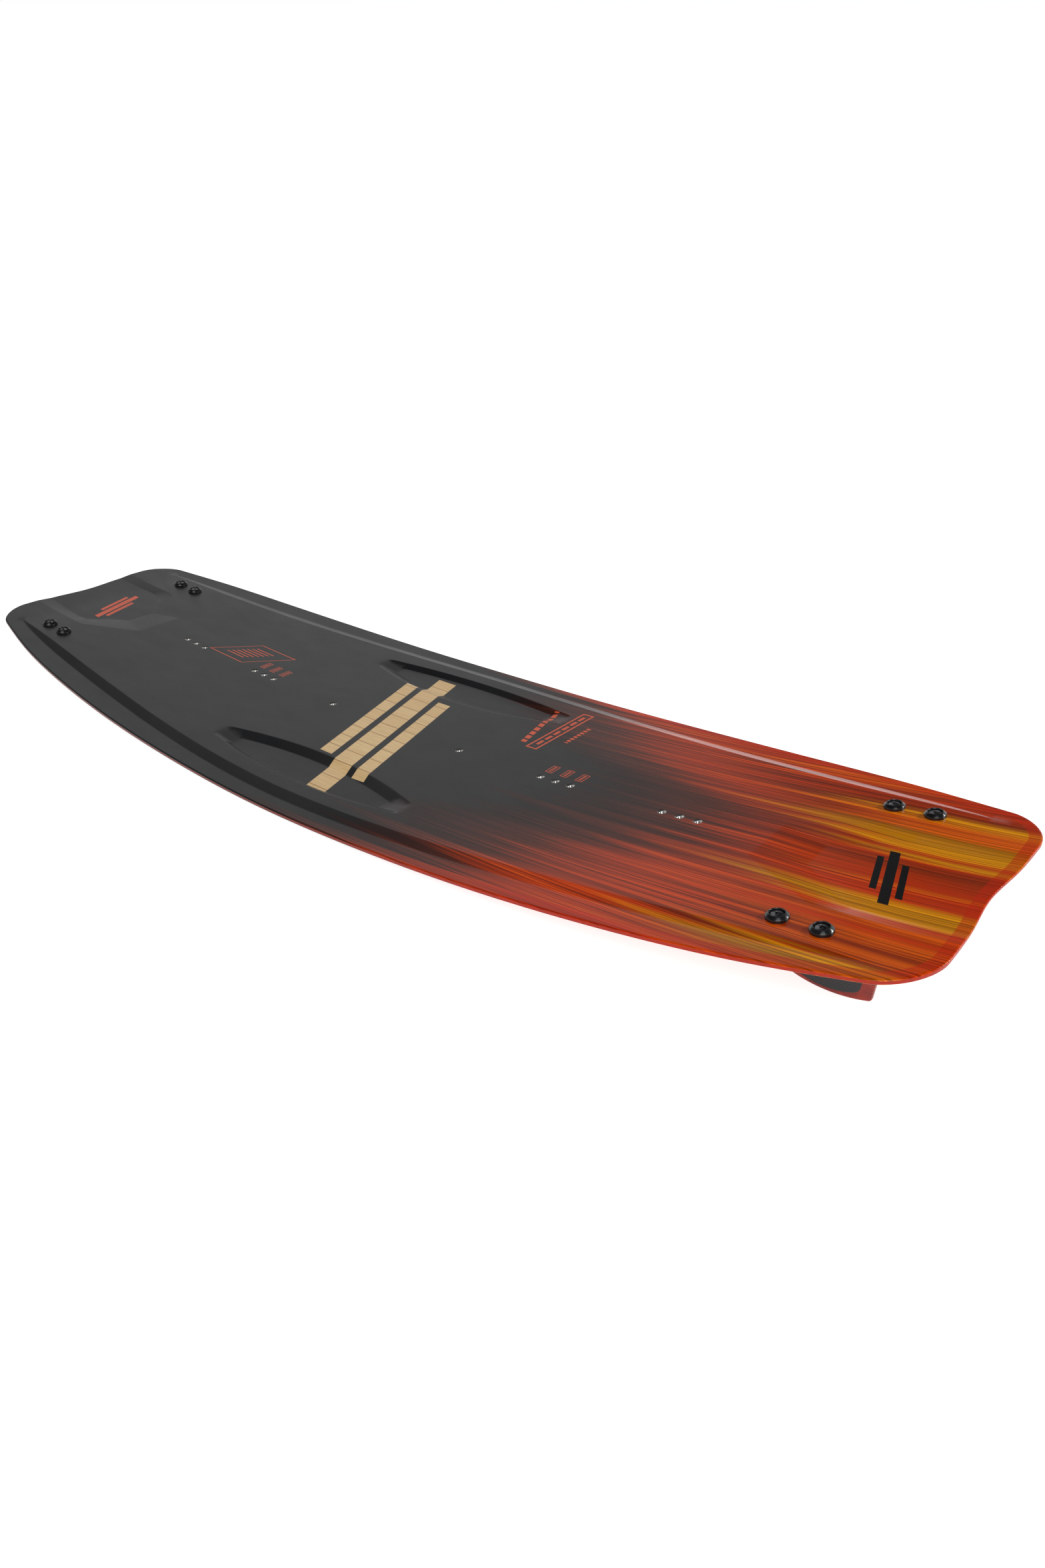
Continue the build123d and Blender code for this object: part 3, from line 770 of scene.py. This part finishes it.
def deck_prints(paint):
    """Masks of the plain shapes printed on the deck: the wood window, terracotta and black ones.

    A shape starts with its middle, half width and half length.  A frame's line or the dashes' pitch and
    printed share follow, then its slant.
    """
    window = three_bars(paint, -5, -4, WINDOW_BARS)
    orange = three_bars(paint, -598, -3, TIP_BARS) + [
        paint.dashes(143, 101, 3.5, 44, 11, 0.72, -0.25),
        paint.dashes(197, 102, 2.5, 22, 6, 0.62),
        paint.frame(172, 102, 8, 53, 2.2),
        paint.dashes(172, 102, 2, 46, 15, 0.75),
        paint.frame(-314, 31, 36, 27, 1.3, 0.9),
        paint.dashes(-318, 31, 18, 18, 5, 0.3, 0.9),
    ]
    for x in SCALE_BOXES:
        orange.append(paint.frame(x, 20, 4.5, 8, 0.8))
        orange.append(paint.dashes(x, 20, 1.6, 6.5, 3, 0.6))
    black = three_bars(paint, 606, -5, TIP_BARS)
    return paint.union(window), paint.union(orange), paint.union(black)


def rim_share(paint):
    """1 over the sidewall, at the board's rim, and 0 over the core."""
    rim = paint.node("ShaderNodeAttribute", attribute_name="rim")
    return paint.range(rim.outputs["Fac"], SIDEWALL_WIDTH + 0.6, SIDEWALL_WIDTH - 0.6)


def printed_sheet(name, is_deck):
    """The printed and lacquered sheet of the deck or the base."""
    paint = Paint(name, Specular_IOR_Level=0.22)
    fine, broad, hair = streak_noise(paint)
    at_rim = rim_share(paint)
    fade = fading(paint, fine, broad, at_rim)
    speck = paint.noise(0.9, 0.9, 0.9, detail=2)
    cloud = paint.noise(0.006, 0.012, 0, detail=3)
    graphite = paint.mix(paint.range(cloud, *MIDDLE), GRAPHITE, GRAPHITE_LIGHT)
    graphite = paint.mix(paint.range(speck, 0.55, 0.8, 0, 0.25), graphite, srgb(70, 72, 74))
    streaks = paint.mix(paint.times(at_rim, 0.6), flame(paint, fine, broad), EDGE_RED)
    ember = paint.ramp(fade, FADE_COLOURS)
    colour = paint.mix(paint.range(fade, 0.45, 1.0), ember, streaks)
    lines = paint.plus(paint.times(fine, 0.6), paint.times(hair, 0.4))
    shade = paint.linear(lines, 0.38, 0.6, 0.36, 1.2)
    grey = paint.node("ShaderNodeCombineColor", shade, shade, shade).outputs[0]
    colour = paint.mix(1.0, colour, grey, "MULTIPLY")
    colour = paint.mix(paint.range(fade, 0.02, 0.2), graphite, colour)
    if is_deck:
        window, orange, black = deck_prints(paint)
        wood, _ = wood_grain(paint)
        colour = paint.mix(window, colour, wood)
        colour = paint.mix(paint.times(orange, 0.9), colour, TERRACOTTA)
        colour = paint.mix(black, colour, BLACK)
    worn = paint.noise(0.02, 0.05, 0.02, detail=4)
    gloss = paint.times(paint.range(fade, 0.1, 1.0), 0.18)
    rough = paint.minus(paint.linear(worn, *MIDDLE, 0.3, 0.35), gloss)
    relief = paint.plus(paint.times(paint.weave(4.2), 0.25), speck)
    return paint.finish(colour, rough, relief, 6e-5, 0.5)


def sidewall_plastic():
    """Red moulded plastic, dark towards the graphite tip."""
    paint = Paint(
        "sidewall_plastic", Specular_IOR_Level=0.25, Subsurface_Weight=0.08, Subsurface_Scale=GLOW_DEPTH
    )
    saw = paint.noise(0.25, 0.25, 1.5, detail=4)
    bright = paint.mix(paint.range(saw, *MIDDLE, 0, 0.5), SIDEWALL_RED, srgb(146, 28, 8))
    dark = paint.mix(paint.range(saw, *MIDDLE, 0, 0.5), srgb(112, 36, 24), srgb(86, 27, 18))
    colour = paint.mix(paint.range(paint.x, -60, 420), dark, bright)
    return paint.finish(colour, paint.linear(saw, *MIDDLE, 0.26, 0.4), saw, 5e-5, 0.5)


def moulded(name, light, dark, low, high):
    """Plastic with a fine moulded grain and uneven gloss."""
    paint = Paint(name)
    coarse = paint.noise(0.12, 0.12, 0.12, detail=3)
    fine = paint.noise(1.6, 1.6, 1.6, detail=3)
    colour = paint.mix(paint.range(coarse, *MIDDLE), dark, light)
    return paint.finish(colour, paint.linear(fine, *MIDDLE, low, high), fine, 4e-5)


def turned_metal(name, light, dark, low, high):
    """Machined metal with fine tool marks."""
    paint = Paint(name, Metallic=1.0)
    marks = paint.noise(0.7, 0.7, 6.0, detail=4, roughness=0.7)
    stain = paint.noise(0.3, 0.3, 0.3, detail=3)
    colour = paint.mix(paint.range(stain, 0.35, 0.7), light, dark)
    return paint.finish(colour, paint.linear(marks, *MIDDLE, low, high), marks, 2e-5)


def fin_weave():
    """Black cloth with a diagonal weave, under resin."""
    paint = Paint("fin_weave", Specular_IOR_Level=0.4)
    rising = paint.math("SINE", paint.times(paint.plus(paint.x, paint.z), 1.9))
    falling = paint.math("SINE", paint.times(paint.minus(paint.x, paint.z), 1.9))
    twill = paint.range(paint.plus(rising, paint.times(falling, 0.6)), -1.2, 1.2)
    colour = paint.mix(twill, srgb(7, 7, 8), srgb(34, 34, 37))
    return paint.finish(colour, paint.linear(twill, 0, 1, 0.42, 0.26), twill, 1.2e-4, 0.6)


def fin_resin():
    """Red glass-filled resin, a little translucent."""
    paint = Paint("fin_resin", Specular_IOR_Level=0.35, Subsurface_Weight=0.2, Subsurface_Scale=GLOW_DEPTH)
    swirl = paint.noise(0.05, 0.05, 0.12, detail=4, distortion=0.8)
    fibre = paint.noise(1.2, 1.2, 3.0, detail=4)
    colour = paint.mix(paint.range(swirl, *MIDDLE), srgb(106, 16, 6), srgb(142, 33, 10))
    colour = paint.mix(paint.range(fibre, 0.5, 0.8, 0, 0.35), colour, srgb(160, 58, 24))
    return paint.finish(colour, paint.linear(fibre, *MIDDLE, 0.22, 0.34), fibre, 5e-5)


def core_wood():
    """The core's glued strips."""
    paint = Paint("core_wood", Specular_IOR_Level=0.3)
    colour, grain = wood_grain(paint)
    return paint.finish(colour, paint.linear(grain, *MIDDLE, 0.5, 0.68), grain, 1.5e-4, 0.6)


def glass_cloth():
    """Resin-soaked glass cloth, plain weave."""
    paint = Paint("glass_cloth", Specular_IOR_Level=0.5)
    weave = paint.range(paint.weave(3.1), -1, 1)
    colour = paint.mix(weave, srgb(118, 108, 92), srgb(176, 168, 150))
    return paint.finish(colour, paint.linear(weave, 0, 1, 0.25, 0.4), weave, 1e-4, 0.5)


materials = {
    "deck_print": printed_sheet("deck_print", True),
    "base_print": printed_sheet("base_print", False),
    "fibre_laminate": glass_cloth(),
    "paulownia": core_wood(),
    "sidewall_plastic": sidewall_plastic(),
    "plug_plastic": moulded("plug_plastic", srgb(40, 40, 42), srgb(26, 26, 27), 0.45, 0.6),
    "washer_plastic": moulded("washer_plastic", srgb(24, 24, 26), srgb(15, 15, 16), 0.13, 0.22),
    "fin_brass": turned_metal("fin_brass", srgb(214, 178, 104), srgb(176, 136, 70), 0.25, 0.4),
    "stainless": turned_metal("stainless", srgb(214, 212, 208), srgb(160, 158, 154), 0.18, 0.34),
    "screw_steel": turned_metal("screw_steel", srgb(118, 118, 122), srgb(72, 72, 76), 0.22, 0.34),
    "fin_panel": fin_weave(),
    "fin_resin": fin_resin(),
}

# ---------------- pieces of the board


def mark_rim(piece):
    """Keeps each vertex's distance from the outline, up to twice the sidewall's width."""
    points = np.array([v.co[:2] for v in piece.data.vertices]) / MM
    distance = np.minimum(edge_distance(points)[0], 2 * SIDEWALL_WIDTH)
    rim = piece.data.attributes.new("rim", "FLOAT", "POINT")
    rim.data.foreach_set("value", distance.astype(np.float32))


def base_surface(x, y):
    """The base's height, which is the same all across."""
    return base_height(x) + 0 * y


def hole_list(spots, height, radius):
    """The middle, seen from above, and the radius of the hole at each spot."""
    return [(on_surface(spot, height)[:2], radius) for spot in spots]


def make_skin(name, slot, replaced, height, sign, holes, step):
    """A sheet with its laminate, as one skin with a rounded edge and round holes."""
    drawing = Drawing()
    add_edge_rings(drawing)
    if height is deck_height:
        add_deck_features(drawing)
    add_holes(drawing, holes)
    drawing.fill(step, GRID_CLEARANCE)
    vertices, faces, normals = shell(drawing, height, sign, holes)
    mark_rim(make_piece(name, vertices, faces, "board", slot, replaced, normals))


def make_skins():
    """The deck with holes for the inserts and the fin screws, and the base with those for the screws."""
    holes = hole_list(sum(insert_spots.values(), []), deck_height, INSERT_RADIUS + INSERT_CLEARANCE)
    holes += hole_list(screw_spots.values(), deck_height, SCREW_HOLE_RADIUS)
    replaced = ("top_sheet", "top_laminate")
    make_skin("deck_skin", "deck_print", replaced, deck_height, 1, holes, GRID_STEP)
    holes = hole_list(screw_spots.values(), base_surface, SCREW_HOLE_RADIUS)
    replaced = ("base_sheet", "bottom_laminate")
    make_skin("base_skin", "base_print", replaced, base_surface, -1, holes, 2 * GRID_STEP)


def make_sidewall(name, first, last):
    """A run of the sidewall between two places on the outline, its outer face slightly crowned."""
    count = len(outline)
    run = [i % count for i in range(first, last + 1)]
    outer = outline[run]
    inner = outer + outline_inward[run] * SIDEWALL_WIDTH
    top, inner_top = (deck_height(*side.T) - SKIN for side in (outer, inner))
    bottom, inner_bottom = (base_height(side[:, 0]) + SKIN for side in (outer, inner))
    rows = []
    for step, bulge in enumerate(SIDEWALL_CROWN):
        share = step / (len(SIDEWALL_CROWN) - 1)
        sunk = outline_inward[run] * SIDEWALL_BULGE * (1 - bulge)
        rows.append(np.column_stack([outer + sunk, top + share * (bottom - top)]))
    rows.append(np.column_stack([inner, inner_bottom]))
    rows.append(np.column_stack([inner, inner_top]))
    size = len(run)
    faces = wall_faces(len(rows), size, wrapped=True, around=False)
    faces.append([row * size for row in range(len(rows))])
    faces.append([row * size + size - 1 for row in reversed(range(len(rows)))])
    make_piece(name + "_strip", np.vstack(rows), faces, "board", "sidewall_plastic", (name,), sharp=50)


def make_sidewalls():
    """Two rail strips and two tip strips, meeting where the CAD pieces do."""
    joints = np.flatnonzero(np.abs(np.abs(outline[:, 0]) - SIDEWALL_JOINT_X) < 1e-6)
    joints = [*joints, joints[0] + len(outline)]
    for name, first, last in zip(("right_tip", "front_rail", "left_tip", "back_rail"), joints, joints[1:]):
        make_sidewall(name + "_sidewall", first, last)


make_skins()
make_sidewalls()

# ---------------- turned pieces


def axes_at(point, axis):
    """The axes and the origin of a frame at point, whose z is the axis and whose x lies along the board."""
    z = unit(np.asarray(axis, float))
    x = unit(np.cross([0, 1, 0], z))
    return np.column_stack([x, np.cross(z, x), z]), np.asarray(point, float)


def ring(radius, height, count):
    """Points of a level circle round z."""
    return np.column_stack([circle((0, 0), radius, count), np.full(count, height)])


def turned(profile, count, axes):
    """Vertices and faces of a closed profile of (radius, height) turned round the z of such a frame."""
    turn, origin = axes
    rows = [ring(r, h, count) for r, h in profile]
    return np.vstack(rows) @ turn.T + origin, wall_faces(len(rows), count, wrapped=True, around=True)


def joined(parts):
    """One list of vertices and one of faces from several."""
    vertices = []
    faces = []
    for part_vertices, part_faces in parts:
        start = sum(len(v) for v in vertices)
        vertices.append(part_vertices)
        faces += [[start + i for i in face] for face in part_faces]
    return np.vstack(vertices), faces


def arc_points(centre, radius, start, end, count):
    """Points of a circular arc in a profile, angles in degrees."""
    angles = np.radians(np.linspace(start, end, count))
    return [(centre[0] + radius * math.cos(a), centre[1] + radius * math.sin(a)) for a in angles]


THREAD_PITCH = 1.0
INSERT_THREAD = 2.5
INSERT_DEPTH = 5.6
INSERT_FLANGE = (9.0, 1.2)  # radius and thickness
INSERT_SINK = 0.1
INSERT_GAP = 0.1  # between its flange and the base's laminate
MOUTH_CHAMFER = 0.12
THREAD_START = 0.9
THREAD_GROOVE = 0.45


def insert_profile(length):
    """A threaded insert from its mouth, at height 0, down to the flange."""
    thread = []
    for depth in np.arange(THREAD_START, INSERT_DEPTH - THREAD_PITCH, THREAD_PITCH):
        thread += [(INSERT_THREAD, -depth), (INSERT_THREAD + THREAD_GROOVE, -depth - THREAD_PITCH / 2)]
    radius, thickness = INSERT_FLANGE
    rim = (INSERT_RADIUS - MOUTH_CHAMFER, -0.02)
    mouth = [(INSERT_RADIUS, -MOUTH_CHAMFER), rim, (INSERT_THREAD + 0.5, -0.85)]
    over_flange = -length + thickness
    outside = [(0.01, -length), (radius, -length), (radius, over_flange), (INSERT_RADIUS, over_flange)]
    bottom = [(INSERT_THREAD, -INSERT_DEPTH), (0.01, -INSERT_DEPTH)]
    return outside + mouth + thread + bottom


def make_inserts():
    """Each group of threaded inserts."""
    for group, spots in insert_spots.items():
        parts = []
        for spot in spots:
            mouth = on_surface(spot, deck_height) - spot[1] * INSERT_SINK
            foot = on_surface(spot, base_surface)
            length = float(np.dot(mouth - foot, spot[1])) - SKIN - INSERT_GAP
            parts.append(turned(insert_profile(length), 48, axes_at(mouth, spot[1])))
        vertices, faces = joined(parts)
        make_piece(group + "_turned", vertices, faces, "board", "stainless", (group,), sharp=28)


WASHER_HOLE = 3.06
WASHER_RADIUS = 9.6
WASHER_SINK = 0.25
CUP_RADIUS = 6.2
CUP_FLOOR = 2.2
HEAD_SEAT = 2.3
HEAD_RADIUS = 5.4
HEAD_HEIGHT = 2.2
HEAD_SIDE = 1.1
HEAD_CHAMFER = 0.12
CROSS_SPAN = 2.75
CROSS_WIDTH = 0.66
CROSS_DEPTH = 1.6
CROSS_TAPER = 0.26
SCREW_LENGTH = 20.0
SCREW_RADIUS = 3.0
SCREW_ROOT = 2.45
SCREW_POINTS = 48


def washer_profile():
    """The cup washer: a conical wall, a beaded lip and a cup for the screw's head; 0 is the deck."""
    return (
        [(WASHER_HOLE, -WASHER_SINK), (WASHER_RADIUS, -WASHER_SINK)]
        + arc_points((WASHER_RADIUS - 0.25, 0.1), 0.3, -30, 0, 3)
        + arc_points((WASHER_RADIUS - 0.5, 2.2), 0.55, 0, 50, 5)
        + arc_points((CUP_RADIUS + 0.65, 4.35), 0.5, 50, 140, 7)
        + [(CUP_RADIUS + 0.05, 4.2), (CUP_RADIUS, CUP_FLOOR + 0.5)]
        + arc_points((CUP_RADIUS - 0.3, CUP_FLOOR + 0.3), 0.3, 0, -90, 5)
        + [(WASHER_HOLE + 0.3, CUP_FLOOR), (WASHER_HOLE, CUP_FLOOR - 0.3)]
    )


def cross_outline(span, width):
    """The twelve corners of a cross, anticlockwise."""
    arm = [(span, -width), (span, width), (width, width)]
    corners = []
    for quarter in range(4):
        for x, y in arm:
            for _ in range(quarter):
                x, y = -y, x
            corners.append((x, y))
    return np.array(corners)


def head_top(radius):
    """Height of the domed head over the screw's seat, at a radius from its axis."""
    dome = HEAD_HEIGHT - HEAD_SIDE
    ball = (HEAD_RADIUS**2 + dome**2) / (2 * dome)
    return HEAD_HEIGHT - ball + np.sqrt(ball**2 - radius**2)


def screw_head():
    """The head's upper face with its cross recess, as vertices and triangles."""
    drawing = Drawing()
    for radius in (HEAD_RADIUS, HEAD_RADIUS - 0.18, HEAD_RADIUS - 0.8, 3.6):
        drawing.line(circle((0, 0), radius, SCREW_POINTS), True)
    inner = cross_outline(CROSS_SPAN - 2.2 * CROSS_TAPER, CROSS_WIDTH - CROSS_TAPER)
    drawing.line(cross_outline(CROSS_SPAN, CROSS_WIDTH), True)
    drawing.line(inner, True)
    points, faces = drawing.triangles()
    radius = np.hypot(*points.T)
    edge = (HEAD_RADIUS - radius < 0.05) * HEAD_CHAMFER
    z = head_top(np.minimum(radius, HEAD_RADIUS)) - edge
    for corner in inner:
        z[np.hypot(*(points - corner).T) < 1e-3] = HEAD_HEIGHT - CROSS_DEPTH
    return np.column_stack([points, z]), faces.tolist()


def screw_shank():
    """Head side, seat and threaded shank, as one open turned surface below the head's face."""
    rings = [(HEAD_RADIUS, float(head_top(HEAD_RADIUS)) - HEAD_CHAMFER), (HEAD_RADIUS, 0.25)]
    rings += [(HEAD_RADIUS - 0.25, 0.0), (SCREW_RADIUS + 0.02, 0.0), (SCREW_ROOT, -0.6)]
    rows = [ring(r, h, SCREW_POINTS) for r, h in rings]
    turns = np.arange(SCREW_POINTS) / SCREW_POINTS
    start, end = -1.6, -SCREW_LENGTH + 0.8
    for h in np.arange(start, end, -THREAD_PITCH / 4):
        phase = np.mod(h / THREAD_PITCH - turns, 1.0)
        ridge = np.clip(1.25 - np.abs(phase - 0.5) * 2.5, 0, 1)
        r = SCREW_ROOT + (SCREW_RADIUS - SCREW_ROOT) * ridge
        rows.append(ring(r, h, SCREW_POINTS))
    rows.append(ring(SCREW_ROOT, end - 0.3, SCREW_POINTS))
    rows.append(ring(SCREW_ROOT - 0.5, -SCREW_LENGTH, SCREW_POINTS))
    walls = wall_faces(len(rows), SCREW_POINTS, wrapped=False, around=True)
    faces = [[b, a, d, c] for a, b, c, d in walls]
    faces.append([(len(rows) - 1) * SCREW_POINTS + i for i in reversed(range(SCREW_POINTS))])
    return np.vstack(rows), faces


def make_fastenings():
    """The cup washers and their screws."""
    head = screw_head()
    shank = screw_shank()
    for name, spot in screw_spots.items():
        seat = on_surface(spot, deck_height)
        turn, origin = axes_at(seat, spot[1])
        place = name.removesuffix("_screw")
        vertices, faces = turned(washer_profile(), 72, (turn, origin))
        replaced = (place + "_washer",)
        make_piece(place + "_cup", vertices, faces, "board", "washer_plastic", replaced, sharp=40)
        vertices, faces = joined([head, shank])
        vertices = (vertices + [0, 0, HEAD_SEAT]) @ turn.T + origin
        weld(make_piece(name + "_turned", vertices, faces, name, "screw_steel", (name,)))


def weld(piece):
    """Joins the vertices that lie on each other."""
    mesh = bmesh.new()
    mesh.from_mesh(piece.data)
    bmesh.ops.remove_doubles(mesh, verts=mesh.verts, dist=1e-6)
    bmesh.ops.recalc_face_normals(mesh, faces=mesh.faces)
    mesh.to_mesh(piece.data)
    mesh.free()
    piece.data.set_sharp_from_angle(angle=math.radians(SCREW_SHARP))


make_inserts()
make_fastenings()

for node, slot in ((s["node"], s["material_slot"]) for s in frame["record"]["subparts"]):
    carried = frame["nodes"][node]
    carried.data.materials.clear()
    carried.data.materials.append(materials[slot])

# ---------------- floor, light and camera

floor_looks = {"Base_Color": (0.6, 0.6, 0.6, 1), "Emission_Color": (1, 1, 1, 1), "Emission_Strength": 0.8}
floor_paint = Paint("floor", Specular_IOR_Level=0.1, Roughness=0.8, **floor_looks)
floor_mesh = bpy.data.meshes.new("floor")
FLOOR = 40.0  # half its width in metres
corners = [(-FLOOR, -FLOOR, 0), (FLOOR, -FLOOR, 0), (FLOOR, FLOOR, 0), (-FLOOR, FLOOR, 0)]
floor_mesh.from_pydata(corners, [], [(0, 1, 2, 3)])
floor_mesh.materials.append(floor_paint.material)
floor = add_object("floor", floor_mesh)


def greys(*levels):
    """The stops of a ramp from (place, grey level) pairs."""
    return [(at, (level, level, level, 1)) for at, level in levels]


# A white horizon under a dark ceiling, lower behind the board, where one broad soft window stands
WINDOW_DIRECTION = (-0.7035, 0.5025, 0.5025)
WINDOW_LEVEL = 0.8
CEILING = 0.04
world = bpy.data.worlds.new("studio")
world.use_nodes = True
bpy.context.scene.world = world
sky = Nodes(world.node_tree)
direction = sky.node("ShaderNodeTexCoord").outputs["Generated"]
up = sky.node("ShaderNodeSeparateXYZ", direction).outputs[2]
towards = sky.node("ShaderNodeVectorMath", direction, WINDOW_DIRECTION, operation="DOT_PRODUCT")
facing = towards.outputs["Value"]
open_sky = sky.ramp(up, greys((0, 1), (0.36, 1), (0.46, 0.35), (0.54, 0.1), (0.7, CEILING), (1, CEILING)))
low_sky = sky.ramp(up, greys((0, 1), (0.15, 1), (0.23, 0.4), (0.34, 0.12), (0.7, CEILING), (1, CEILING)))
behind = sky.ramp(facing, greys((0, 0), (0.55, 0), (0.8, 1), (1, 1)))
window = sky.ramp(facing, greys((0, 0), (0.9, 0), (0.975, WINDOW_LEVEL), (1, WINDOW_LEVEL)))
horizon = sky.mix(behind, open_sky, low_sky)
background = sky.tree.nodes["Background"]
sky.put(background.inputs["Color"], sky.mix(1.0, horizon, window, "LIGHTEN"))
background.inputs["Strength"].default_value = 1.0


def lamp(name, light, place, towards):
    """Hangs a light so that it shines in a direction."""
    hung = add_object(name, light)
    hung.location = place
    hung.rotation_euler = Vector(towards).to_track_quat("-Z", "Y").to_euler()


def softbox(name, place, target, width, height, watts):
    """A soft rectangular light that looks at a point."""
    light = bpy.data.lights.new(name, "AREA")
    light.shape = "RECTANGLE"
    light.size = width
    light.size_y = height
    light.energy = watts
    lamp(name, light, place, Vector(target) - Vector(place))


softbox("key", place=(1.6, -2.2, 2.6), target=(0, 0, 0), width=2.2, height=1.6, watts=36)
softbox("side", place=(2.4, 1.6, 1.6), target=(0.5, 0, 0), width=1.5, height=0.3, watts=42)
fill = bpy.data.lights.new("fill", "SUN")
fill.energy = 0.8
fill.angle = math.radians(40)
lamp("fill", fill, (0, 0, 0), (-0.35, 0.5, -0.8))

# The camera, by its place, the direction from the board to it and its roll
CAMERA_PLACE = (0.8633, -0.7293, 0.5345)
AZIMUTH, ELEVATION, ROLL = (math.radians(v) for v in (42.21, 28.41, -2.70))
LENS = 24.02
level = math.cos(ELEVATION)
back = Vector((math.sin(AZIMUTH) * level, -math.cos(AZIMUTH) * level, math.sin(ELEVATION)))
across = Vector((0, 0, 1)).cross(back).normalized()
upward = back.cross(across)
camera_x = math.cos(ROLL) * across + math.sin(ROLL) * upward
camera_y = -math.sin(ROLL) * across + math.cos(ROLL) * upward
camera_data = bpy.data.cameras.new("camera")
camera_data.lens = LENS
camera_data.clip_start = 0.01
camera = add_object("camera", camera_data)
turn = Matrix((camera_x, camera_y, back)).transposed().to_4x4()
camera.matrix_world = Matrix.Translation(CAMERA_PLACE) @ turn
bpy.context.scene.camera = camera
bpy.context.scene.view_settings.view_transform = "Standard"
